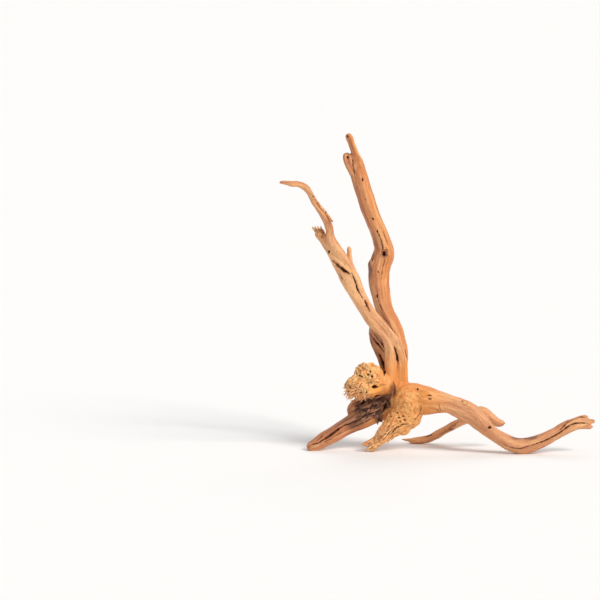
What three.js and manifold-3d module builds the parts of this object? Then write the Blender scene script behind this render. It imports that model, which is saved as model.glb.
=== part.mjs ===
// A dry root: the bare, bark-free crown of a shrub with the stems and roots that grew from it.
// It grew as one piece, so it is one solid. Millimetres, +Z up, standing on the plane z = 0.
// +X is the side of the long arm and +Y is the back.
//
// Two strands twist up from the crown and part into a thin hooked branch and a frayed stub, with a
// thick knuckled branch behind them. A long arm dips to the ground on the right and carries a thin
// forked root on its back. A split leg reaches the ground on the left, under a wrinkled burl that
// overhangs a hollow, and a second burl ends in a frayed spur at the front.

import * as THREE from "three";
import { mergeVertices } from "three/addons/utils/BufferGeometryUtils.js";
import { ImprovedNoise } from "three/addons/math/ImprovedNoise.js";
import Module from "manifold-3d";

const wasm = await Module();
wasm.setup();

// The tables below are laid out from a point on the ground near the trunk's foot. Once joined, the
// root is moved so that the origin lies under the middle of its overall box.
const WORN_FLAT = 0.7; // mm worn off the three places that the root stands on
const SIDES_PER_MM = 0.5; // sides of a limb for each millimetre of its greatest width
const FEWEST_SIDES = 6;
const MOST_SIDES = 12;
const SLIT_SIDES = 4;
const RING_STEP = 6.6; // mm between the rings of a limb
const WANDER_SIZE = 14; // mm across the swellings that break up a limb's outline
const WANDER = 0.05; // their depth, as a share of the radius

// Each limb's route: x, y, z and radius in mm, from where it grows out to its tip.
// flutes is the number of long ridges round it, relief their height as a share of the radius, and
// twist how far they turn, in turns for each 100 mm.
const LIMBS = [
  {
    name: "trunk core",
    flutes: 3,
    relief: 0.04,
    twist: 0.2,
    route: [
      [-40, 2, 40, 12],
      [-40, 1, 54, 12.2],
      [-40, 0, 66, 11],
      [-40.2, 0.5, 75, 9.6],
      [-40.4, 2, 84, 7.8],
      [-41, 4, 94, 5.6],
      [-42.5, 6, 104, 4.6],
      [-46, 9, 113, 3.6],
    ],
  },
  {
    name: "left strand, ending in the frayed stub",
    flutes: 3,
    relief: 0.05,
    twist: 0.7,
    route: [
      [-44, -4, 60, 7],
      [-46, -5.5, 67.3, 6.8],
      [-46.7, -7, 79.6, 6],
      [-46.8, -8, 91.8, 5.6],
      [-47, -9.5, 102, 5.5],
      [-48, -11, 109.4, 5.4],
      [-51.2, -12.5, 117.7, 5.8],
      [-56.8, -14.5, 125, 6.4],
      [-63.7, -17, 133, 6.8],
      [-70.8, -19.5, 143, 6.8],
      [-77.6, -22, 153.4, 6.8],
      [-83.5, -25, 164, 6.7],
      [-89.8, -28, 174.4, 6.4],
      [-95.2, -31, 185, 6],
      [-101, -33, 195.3, 5.6],
      [-105.5, -34.5, 203.6, 4.9],
      [-110, -35, 210.7, 4],
      [-114.5, -35, 217.3, 3.8],
      [-118, -34.5, 222.5, 4.8],
      [-120.5, -34, 225.5, 4.4],
    ],
  },
  {
    name: "web between the strands",
    flutes: 2,
    relief: 0,
    twist: 0,
    route: [
      [-43, -3, 96, 3.6],
      [-43.5, -6, 105, 3.6],
      [-48, -9.5, 115, 3.8],
      [-55, -13.5, 124, 4.6],
      [-62.8, -17, 134, 4.8],
      [-70.6, -20.5, 146, 4.8],
      [-77.7, -24, 158, 4.8],
      [-83.3, -27.5, 169, 4.8],
      [-88, -30.5, 178, 4.8],
      [-93.5, -32.5, 188, 4.6],
    ],
  },
  {
    name: "right strand, ending in the thin hooked branch",
    flutes: 3,
    relief: 0.05,
    twist: 0.8,
    route: [
      [-36, -1, 62, 7],
      [-35, -3, 71, 6.3],
      [-35, -4, 81.2, 5.7],
      [-35.3, -5, 91.4, 4.8],
      [-37, -7, 100.8, 4.6],
      [-41, -9, 109.2, 4.3],
      [-46.3, -11, 117.4, 4.2],
      [-52.5, -13.5, 126, 4.2],
      [-58.8, -16.5, 134.4, 4.2],
      [-65, -19.5, 143.4, 4.2],
      [-70.8, -22.5, 153.5, 4.2],
      [-75.8, -25.5, 163.5, 4.3],
      [-80.6, -28.5, 173.2, 4.5],
      [-84.8, -31.5, 182.5, 4.9],
      [-89.8, -34, 191.3, 5.4],
      [-95.6, -36.5, 200, 5.7],
      [-101.2, -38.5, 208.4, 5.2],
      [-105.7, -40, 215.7, 4.5],
      [-108.1, -41.5, 221.8, 4],
      [-108.5, -43.5, 228.6, 3.7],
      [-110, -46, 235.3, 3.6],
      [-114, -49, 242.6, 3.5],
      [-119.1, -53, 251, 3.3],
      [-123.9, -57, 259, 3.2],
      [-127.2, -60, 265.7, 3.2],
      [-130.4, -62.5, 270.4, 3.2],
      [-135, -65, 273.3, 3.2],
      [-140.5, -67.5, 274.9, 3.1],
      [-146, -70, 275.6, 2.7],
      [-150.8, -72.5, 276.6, 2.2],
      [-154.3, -74.5, 277.2, 1.5],
      [-157, -76, 277.2, 0.7],
    ],
  },
  {
    name: "rear strand down the trunk's left side",
    flutes: 3,
    relief: 0.1,
    twist: 0.6,
    route: [
      [-67, -16, 136, 3.4],
      [-64.2, -9, 126.5, 3.8],
      [-64, -3, 117.4, 3.8],
      [-62.3, 0, 109, 4],
      [-58.5, 2, 100.5, 4.3],
      [-54.7, 3, 92.3, 4.6],
      [-52, 3, 83.2, 5.4],
      [-48, 2, 70, 7],
    ],
  },
  {
    name: "inner rear strand",
    flutes: 3,
    relief: 0.1,
    twist: 0.6,
    route: [
      [-61, -12, 131, 3.4],
      [-58.5, -7, 123, 3.4],
      [-56.5, -4, 115, 3.4],
      [-54, -2, 106, 3.4],
      [-52, -1, 97, 3.6],
      [-49, 0, 87, 4.4],
    ],
  },
  {
    name: "tall thick branch with its knuckle",
    flutes: 5,
    relief: 0.05,
    twist: 0.35,
    route: [
      [-36, 1, 66, 7],
      [-35, 4, 82, 6],
      [-34.5, 9, 93.4, 6.2],
      [-37, 13, 104, 7],
      [-41, 17, 115.6, 8],
      [-45.5, 21, 125.2, 8.8],
      [-50.5, 25, 133.7, 9.2],
      [-54, 29, 142.1, 9.4],
      [-56, 33, 150.7, 9.8],
      [-57.5, 38, 162.2, 10.5],
      [-57.6, 42, 173.7, 11],
      [-56, 44, 183.5, 11],
      [-53.6, 44, 191.6, 10.3],
      [-53.4, 42, 200, 9.2],
      [-56.2, 39, 211.4, 8.5],
      [-60.5, 36, 222, 8.1],
      [-65, 34, 232.3, 8.2],
      [-69.2, 33, 243.7, 8.5],
      [-73, 33, 256.8, 8.3],
      [-75.7, 34, 267.7, 8.1],
      [-77.7, 34, 277.8, 7.3],
      [-79, 33, 285.1, 6],
      [-80.7, 31, 291.9, 4.3],
      [-83, 28, 298.9, 3.7],
      [-85.7, 25, 305.9, 3.7],
      [-87.8, 23, 311.7, 3.9],
      [-88.7, 22, 315.5, 3.4],
    ],
  },
  {
    name: "shoulder left by a lost branch",
    flutes: 2,
    relief: 0.04,
    twist: 0,
    route: [
      [-58.5, 42, 167.6, 8.3],
      [-60.5, 42, 177.5, 7.2],
      [-62, 41.5, 185, 5.2],
    ],
  },
  {
    name: "broken side stub near the top",
    flutes: 4,
    relief: 0.1,
    twist: 0,
    route: [
      [-75, 33, 248, 4.4],
      [-79.5, 32.5, 262, 5],
      [-83.8, 32, 273, 5],
      [-87.5, 31, 282.3, 4.6],
      [-89.6, 30.5, 289.4, 4.9],
      [-90, 30, 294.5, 4.6],
    ],
  },
  {
    name: "short twig",
    flutes: 2,
    relief: 0.05,
    twist: 0,
    route: [
      [-86, -31, 183, 3.6],
      [-87.2, -28, 193, 2.9],
      [-87.6, -25.5, 200.4, 2.4],
      [-88, -24, 206.6, 2.1],
    ],
  },
  {
    name: "long arm",
    flutes: 4,
    relief: 0.055,
    twist: 0.45,
    route: [
      [-36, -3, 48, 12],
      [-29, -6, 51, 13],
      [-21, -8, 51.5, 14.2],
      [-13, -10.5, 50.6, 13.8],
      [-5, -13, 50.2, 12.4],
      [3, -15, 49.6, 11],
      [12, -17, 48.5, 9.7],
      [21, -19, 45.1, 9.7],
      [29, -21, 41.5, 9.8],
      [36.5, -23, 37.5, 9.4],
      [43.5, -25, 31.3, 8.5],
      [51, -27, 24, 7.4],
      [60, -29, 18, 7.2],
      [69.5, -30.5, 12.7, 7.5],
      [77, -31, 9.4, 8.1],
      [83.5, -31, 8.1, 8.5],
      [91, -31, 9, 8.2],
      [99, -30.5, 11.4, 7.6],
      [107.5, -30, 15, 7.1],
      [116, -29, 19.6, 6.7],
      [124.5, -28, 24.1, 6.5],
      [133, -27, 28.4, 6.4],
      [140.5, -26, 30.8, 6.4],
      [146, -25, 31.4, 5.4],
    ],
  },
  {
    name: "upper finger of the arm's split end",
    flutes: 2,
    relief: 0.1,
    twist: 0,
    route: [
      [136, -25.5, 33, 3.2],
      [145, -24.5, 36, 2.7],
      [151, -24, 36.4, 1.9],
    ],
  },
  {
    name: "middle finger",
    flutes: 2,
    relief: 0.1,
    twist: 0,
    route: [
      [142, -26, 32, 3.6],
      [151, -25.5, 32.7, 2.6],
      [157.6, -25, 32, 1.3],
    ],
  },
  {
    name: "lower finger",
    flutes: 2,
    relief: 0.1,
    twist: 0,
    route: [
      [139, -27, 28, 3.6],
      [148, -27, 27.8, 3],
      [155, -27, 27, 2.4],
    ],
  },
  {
    name: "rear finger",
    flutes: 2,
    relief: 0.1,
    twist: 0,
    route: [
      [141, -22.5, 30, 3.4],
      [149, -20, 31.4, 2.4],
      [154.5, -18.5, 32, 1.3],
    ],
  },
  {
    name: "thin root behind the arm",
    flutes: 3,
    relief: 0.09,
    twist: 0.5,
    route: [
      [40, -16, 38.5, 5.4],
      [33, -4, 33, 4.5],
      [25, 4, 27.2, 4.2],
      [17, 12, 21.8, 4],
      [9, 18, 16.4, 3.9],
      [0.5, 23, 11, 3.9],
      [-7, 26.5, 6.8, 3.9],
      [-16, 29, 4.2, 3.9],
      [-22.5, 30.5, 3.2, 3.8],
      [-28.5, 31.5, 2.8, 2.9],
    ],
  },
  {
    name: "splinter at the thin root's tip",
    flutes: 2,
    relief: 0.05,
    twist: 0,
    route: [
      [-24, 31, 4.2, 2.4],
      [-31, 32, 4.4, 1.5],
      [-35.4, 33, 5, 0.7],
    ],
  },
  {
    name: "prong behind the arm",
    flutes: 3,
    relief: 0.1,
    twist: 0.5,
    route: [
      [36, -16, 38.5, 5.6],
      [43, -8, 40.3, 5],
      [49, -3, 37.1, 4.9],
      [54.5, 1, 31.7, 4.5],
      [59.5, 4, 27, 4.3],
      [63.5, 6, 25.3, 3.9],
      [67, 8, 25.4, 2.6],
      [70, 9, 25.2, 1],
    ],
  },
  {
    name: "split leg",
    flutes: 4,
    relief: 0.1,
    twist: 0.1,
    route: [
      [-47, 6, 44.4, 12],
      [-59, 4, 39, 12.2],
      [-70, 1, 34.2, 10.8],
      [-80, -2, 29, 9.2],
      [-91, -5, 23.4, 8],
      [-102.5, -8, 17, 7.4],
      [-114, -10, 10.6, 6.8],
      [-122, -11, 6.1, 5.9],
      [-128, -11.5, 4.2, 4.6],
      [-131, -11.7, 4, 3.2],
    ],
  },
  {
    name: "front spur",
    flutes: 5,
    relief: 0.08,
    twist: 0.2,
    route: [
      [-28, -9, 46, 13],
      [-33.5, -12.5, 38, 13.2],
      [-40, -15.5, 31, 11.4],
      [-47, -17.5, 24, 9],
      [-53, -19, 18, 7.6],
      [-59, -20, 12.8, 6.6],
      [-65, -20.6, 8.4, 5.8],
      [-69.5, -21, 5.8, 4],
    ],
  },
];

// Burls and swellings: centre and half-sizes along x, y and z in mm, the depth of the wrinkles as a
// share of the half-size, how far apart they are in mm, and how finely the ball is split.
const LUMPS = [
  { name: "crown", at: [-41, 4, 44], half: [15, 13, 15], wrinkle: 0.08, size: 12, split: 3 },
  { name: "crown under the left burl", at: [-62, 5, 53], half: [20, 9, 13], wrinkle: 0.12, size: 8, split: 4 },
  { name: "upper left burl", at: [-68, -9, 78.8], half: [14, 12.5, 10.2], wrinkle: 0.17, size: 8, split: 5 },
  { name: "lower left burl", at: [-73, -12, 66.6], half: [18.5, 14, 12.5], wrinkle: 0.15, size: 9, split: 5 },
  { name: "waist of the left burl", at: [-64, -10, 72], half: [14, 14.5, 12], wrinkle: 0.1, size: 9, split: 4 },
  { name: "bridge to the trunk", at: [-55.5, -7, 68], half: [12.5, 12, 11.5], wrinkle: 0.04, size: 12, split: 3 },
  { name: "flare of the leg", at: [-77, 3, 39], half: [12, 9, 11.5], wrinkle: 0.14, size: 8, split: 3 },
  { name: "front burl", at: [-28.5, -11.5, 49], half: [15, 14, 16], wrinkle: 0.1, size: 7, split: 5 },
  { name: "lower front burl", at: [-28, -12.5, 36], half: [13, 12, 13], wrinkle: 0.1, size: 8, split: 4 },
  { name: "knob under the front burl", at: [-33.5, -14, 25], half: [8.5, 8, 8], wrinkle: 0.12, size: 6, split: 3 },
];

// Hollows, holes and pits, in the same terms.
const HOLLOWS = [
  { name: "hollow under the left burl", at: [-66, -15, 48], half: [17, 13, 7], wrinkle: 0.2, size: 8, split: 3 },
  { name: "hole in the left burl", at: [-62, -21, 64.5], half: [5.4, 9, 2.5], wrinkle: 0.1, size: 5, split: 1 },
  { name: "knot hole at the knuckle", at: [-53, 33.5, 193.5], half: [2.4, 4, 2.8], wrinkle: 0, size: 5, split: 1 },
  { name: "hole in the broken stub", at: [-89.5, 26, 292], half: [1.9, 3, 2.4], wrinkle: 0, size: 5, split: 1 },
  { name: "pit on the thick branch", at: [-59.5, 25.5, 217], half: [1.2, 3, 2.4], wrinkle: 0, size: 5, split: 1 },
  { name: "pit in the arm's root", at: [-7.5, -25.5, 55], half: [2.8, 2.4, 1.1], wrinkle: 0, size: 5, split: 1 },
  { name: "pit in the arm", at: [51.8, -34.5, 25.5], half: [1.6, 3, 1.3], wrinkle: 0, size: 5, split: 1 },
];

// Drying cracks and the creases where grown-together strands meet: each is a slit of this radius
// along a route that lies on the wood's surface.
const CRACKS = [
  {
    name: "split along the arm",
    route: [
      [74, -39, 7, 0.5],
      [81, -39.6, 7.8, 1.3],
      [90, -39.6, 8.8, 1.6],
      [102, -38.6, 13.6, 1.6],
      [113, -37, 18.8, 1.5],
      [121, -35.5, 23.5, 1.6],
      [132, -34.2, 29.6, 1.7],
      [143, -32.5, 31.8, 1.9],
      [152, -30, 32, 1.9],
    ],
  },
  {
    name: "upper split at the arm's end",
    route: [
      [118, -34, 27, 0.5],
      [127, -32.5, 31.5, 1.3],
      [138, -30, 35, 1.5],
      [148, -26, 35.5, 1.7],
    ],
  },
  {
    name: "split along the leg",
    route: [
      [-82, -11, 28.6, 1],
      [-93, -13, 22.6, 1.8],
      [-106, -15.5, 15.6, 1.9],
      [-116, -17, 10, 1.9],
      [-127, -16, 5, 1.7],
    ],
  },
  {
    name: "slit between the strands above the trunk",
    route: [
      [-41, -9, 84, 0.6],
      [-41, -11, 93, 1.7],
      [-41.3, -12, 101, 1.5],
      [-42.5, -13, 107, 0.6],
    ],
  },
  {
    name: "slit between the leaning strands",
    route: [
      [-66, -24.5, 140, 0.6],
      [-69.5, -25.5, 146, 1.5],
      [-72.5, -26.5, 151, 1.2],
      [-78, -29, 161, 1.1],
      [-82, -31.5, 169, 0.8],
    ],
  },
  {
    name: "slit under the peeled lip",
    route: [
      [-88, -37, 178, 1],
      [-92, -39.5, 182, 1.7],
      [-98, -41, 187, 1.9],
      [-103.5, -40, 192, 1.2],
    ],
  },
  {
    name: "groove up from the knuckle",
    route: [
      [-53.5, 34.5, 196, 1.6],
      [-56, 31.5, 206, 1.1],
      [-59.5, 28.5, 216, 1],
      [-62.5, 26.5, 226, 0.5],
    ],
  },
  {
    name: "scar on the shoulder",
    route: [
      [-61, 35.5, 190, 1.4],
      [-64.5, 36.5, 185, 1.5],
      [-66.8, 38, 180, 0.7],
    ],
  },
  {
    name: "crease under the front burl",
    route: [
      [-52, -26.5, 15, 0.8],
      [-43, -27, 21, 1.4],
      [-35, -24.5, 27, 1.5],
      [-28, -23.5, 28, 1.1],
    ],
  },
];

// Bundles of splinters where the wood broke: the middle of the bundle, its half-sizes, the way its
// splinters point, how much they stray, their length and thickness in mm, and how many there are.
const FRAYS = [
  { name: "left burl", at: [-84, -17, 60], half: [6, 6, 7], way: [-1, -0.4, -0.5], stray: 0.45, length: 8, thick: 2.2, count: 14 },
  { name: "edge over the hollow", at: [-75, -19, 57], half: [12, 4, 2], way: [-0.5, -0.3, -0.8], stray: 0.4, length: 6, thick: 2, count: 8 },
  { name: "frayed stub", at: [-118.5, -34, 224], half: [4, 3, 1.6], way: [-0.4, 0, 1], stray: 0.35, length: 5, thick: 2, count: 7 },
  { name: "front spur", at: [-67, -21, 9], half: [3, 3.5, 2.5], way: [-1, -0.15, -0.45], stray: 0.25, length: 5.5, thick: 2.6, count: 7 },
  { name: "hollow", at: [-59.5, -4, 35], half: [3, 3, 2], way: [0, -0.2, -1], stray: 0.25, length: 7, thick: 4, count: 4 },
  { name: "crown", at: [-88.6, 22, 313], half: [1.5, 1.5, 1], way: [-0.1, 0, 1], stray: 0.3, length: 3, thick: 2, count: 3 },
];

// Turns a three.js geometry into a solid for joining and cutting.
function solid(geometry) {
  geometry.deleteAttribute("normal");
  geometry.deleteAttribute("uv");
  const merged = mergeVertices(geometry, 1e-4);
  const mesh = new wasm.Mesh({
    numProp: 3,
    vertProperties: new Float32Array(merged.attributes.position.array),
    triVerts: new Uint32Array(merged.index.array),
  });
  return new wasm.Manifold(mesh);
}

const perlin = new ImprovedNoise();

// Smooth noise at a point, for features about `size` mm across.
function noiseAt(point, size) {
  return perlin.noise(point.x / size, point.y / size, point.z / size);
}

// The radius at arc share t, read off the stations' radii at their own places along the curve.
function radiusAlong(stations, shares, t) {
  let i = 1;
  while (i < shares.length - 1 && shares[i] < t) i++;
  const within = (t - shares[i - 1]) / (shares[i] - shares[i - 1]);
  const eased = within * within * (3 - 2 * within);
  return THREE.MathUtils.lerp(stations[i - 1][3], stations[i][3], eased);
}

// A tapering, fluted limb with round ends: a ball whose rings are laid along the route.
function limb({ route, flutes, relief, twist, slim = false }) {
  const curve = new THREE.CatmullRomCurve3(route.map(([x, y, z]) => new THREE.Vector3(x, y, z)));
  curve.arcLengthDivisions = 40 * route.length;
  const length = curve.getLength();
  const lengths = curve.getLengths();
  const shares = route.map((_, i) => {
    const at = (i / (route.length - 1)) * (lengths.length - 1);
    return lengths[Math.round(at)] / length;
  });
  const widest = 2 * Math.max(...route.map((station) => station[3]));
  const wanted = THREE.MathUtils.clamp(Math.round(widest * SIDES_PER_MM), FEWEST_SIDES, MOST_SIDES);
  const sides = slim ? SLIT_SIDES : wanted;
  const rings = Math.max(4, Math.round(length / RING_STEP));
  const frames = curve.computeFrenetFrames(rings, false);
  const ball = new THREE.SphereGeometry(1, sides, rings);
  const place = ball.attributes.position;
  const point = new THREE.Vector3();
  for (let i = 0; i < place.count; i++) {
    point.fromBufferAttribute(place, i);
    const ring = Math.round((Math.acos(THREE.MathUtils.clamp(point.y, -1, 1)) / Math.PI) * rings);
    const angle = Math.atan2(point.z, point.x);
    const t = ring / rings;
    const along = t * length;
    const plain = radiusAlong(route, shares, t);
    const fromEnd = Math.min(along, length - along);
    const round = fromEnd < plain ? Math.sqrt(1 - (1 - fromEnd / plain) ** 2) : 1;
    const ridge = 1 + relief * Math.cos(flutes * (angle + (twist * 2 * Math.PI * along) / 100));
    const centre = curve.getPointAt(t);
    const out = new THREE.Vector3()
      .addScaledVector(frames.normals[ring], Math.cos(angle))
      .addScaledVector(frames.binormals[ring], Math.sin(angle));
    const surface = centre.clone().addScaledVector(out, plain);
    const swell = 1 + 2 * WANDER * noiseAt(surface, WANDER_SIZE);
    const reach = ring === 0 || ring === rings ? 0 : plain * round * ridge * swell;
    point.copy(centre).addScaledVector(out, reach);
    place.setXYZ(i, point.x, point.y, point.z);
  }
  return solid(ball);
}

// A burl: a ball stretched to its half-sizes, with wrinkles raised by noise.
function lump({ at, half, wrinkle, size, split }) {
  const ball = new THREE.IcosahedronGeometry(1, split);
  const place = ball.attributes.position;
  const centre = new THREE.Vector3(...at);
  const halfSizes = new THREE.Vector3(...half);
  const point = new THREE.Vector3();
  for (let i = 0; i < place.count; i++) {
    point.fromBufferAttribute(place, i).multiply(halfSizes);
    const ridge = 1 - 2 * Math.abs(noiseAt(point.clone().add(centre), size));
    point.multiplyScalar(1 + wrinkle * (ridge - 0.5)).add(centre);
    place.setXYZ(i, point.x, point.y, point.z);
  }
  return solid(ball);
}

// The splinters of one bundle: three-sided spikes with their thick ends sunk in the wood.
function splinters({ at, half, way, stray, length, thick, count }) {
  const spikes = [];
  for (let i = 0; i < count; i++) {
    const draw = () => THREE.MathUtils.seededRandom() * 2 - 1;
    const direction = new THREE.Vector3(...way).normalize();
    direction.add(new THREE.Vector3(draw(), draw(), draw()).multiplyScalar(stray)).normalize();
    const long = length * (0.8 + 0.35 * draw());
    const spike = new THREE.CylinderGeometry(0.15, thick / 2, long * 1.6, 3, 1);
    spike.translate(0, long * 0.2, 0);
    spike.applyQuaternion(new THREE.Quaternion().setFromUnitVectors(UP, direction));
    spike.translate(at[0] + half[0] * draw(), at[1] + half[1] * draw(), at[2] + half[2] * draw());
    spikes.push(solid(spike));
  }
  return spikes;
}

// A slit: a thin limb without flutes.
const slit = ({ route }) => limb({ route, flutes: 1, relief: 0, twist: 0, slim: true });

const UP = new THREE.Vector3(0, 1, 0);
const SPLINTER_SEED = 5;
const GROUND = new THREE.BoxGeometry(600, 600, 60).translate(0, 0, WORN_FLAT - 30);

// Keeps the triangles of the largest shell, which fills the hollows that joining sealed inside the
// wood and drops loose scraps.
function largestShell(corners, vertexCount) {
  const leader = Array.from({ length: vertexCount }, (_, i) => i);
  const find = (i) => {
    while (leader[i] !== i) i = leader[i] = leader[leader[i]];
    return i;
  };
  for (let t = 0; t < corners.length; t += 3) {
    leader[find(corners[t])] = find(corners[t + 1]);
    leader[find(corners[t + 1])] = find(corners[t + 2]);
  }
  const counts = new Map();
  for (const corner of corners) counts.set(find(corner), (counts.get(find(corner)) ?? 0) + 1);
  const [largest] = [...counts].reduce((a, b) => (b[1] > a[1] ? b : a));
  return corners.filter((_, i) => find(corners[i - (i % 3)]) === largest);
}

// Moves the wood so that the middle of its box's underside is at the origin.
function overOrigin(geometry) {
  geometry.computeBoundingBox();
  const { min, max } = geometry.boundingBox;
  return geometry.translate(-(min.x + max.x) / 2, -(min.y + max.y) / 2, -min.z);
}

function dryRoot() {
  THREE.MathUtils.seededRandom(SPLINTER_SEED);
  let wood = null;
  for (const piece of [...LUMPS.map(lump), ...LIMBS.map(limb)])
    wood = wood ? wood.add(piece) : piece;
  for (const hollow of HOLLOWS.map(lump)) wood = wood.subtract(hollow);
  for (const crack of CRACKS.map(slit)) wood = wood.subtract(crack);
  for (const spike of FRAYS.flatMap(splinters)) wood = wood.add(spike);
  wood = wood.subtract(solid(GROUND));
  const { vertProperties, triVerts, numProp } = wood.getMesh();
  const corners = largestShell(triVerts, vertProperties.length / numProp);
  const xyz = [];
  for (const corner of corners)
    for (let axis = 0; axis < 3; axis++) xyz.push(vertProperties[corner * numProp + axis]);
  const geometry = new THREE.BufferGeometry();
  geometry.setAttribute("position", new THREE.Float32BufferAttribute(xyz, 3));
  return overOrigin(mergeVertices(geometry, 1e-4));
}

const bareWood = new THREE.MeshStandardMaterial({ color: "#d9995e", roughness: 0.6, metalness: 0 });
const root = new THREE.Mesh(dryRoot(), bareWood);
root.name = "root";

const part = new THREE.Group();
part.add(root);

export default part;
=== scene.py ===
"""A dry root, bare of bark: two strands that twist up from a knotted crown, a tall knuckled branch
behind them, a long drooping arm, a split leg and two wrinkled burls with frayed ends.

The wood is grown limb by limb, fused into one skin, eased where limbs meet and then carved:
flutes, drying cracks, knot holes, wrinkles and torn fibres. Lengths in the tables are millimetres.
"""

import itertools
import math

import bmesh
import bpy
import numpy as np
from mathutils import Matrix, Vector
from mathutils.bvhtree import BVHTree


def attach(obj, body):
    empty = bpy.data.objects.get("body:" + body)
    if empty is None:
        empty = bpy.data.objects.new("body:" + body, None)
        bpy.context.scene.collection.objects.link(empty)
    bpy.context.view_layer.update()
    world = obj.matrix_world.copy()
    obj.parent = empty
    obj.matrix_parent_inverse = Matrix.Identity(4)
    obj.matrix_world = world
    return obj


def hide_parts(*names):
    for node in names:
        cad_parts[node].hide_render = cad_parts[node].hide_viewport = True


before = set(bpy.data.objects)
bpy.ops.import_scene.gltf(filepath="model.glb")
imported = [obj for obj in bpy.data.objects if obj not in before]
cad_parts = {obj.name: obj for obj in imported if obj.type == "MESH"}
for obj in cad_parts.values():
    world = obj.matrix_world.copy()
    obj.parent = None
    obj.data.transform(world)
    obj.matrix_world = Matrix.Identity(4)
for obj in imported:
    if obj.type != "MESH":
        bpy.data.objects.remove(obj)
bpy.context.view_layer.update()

MM = 0.001
LAYOUT_SHIFT = Vector((-0.3, 10.243, -0.7))  # from the tables' zero to the ground under the root
SEED = 11

# The root's limbs and burls

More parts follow.
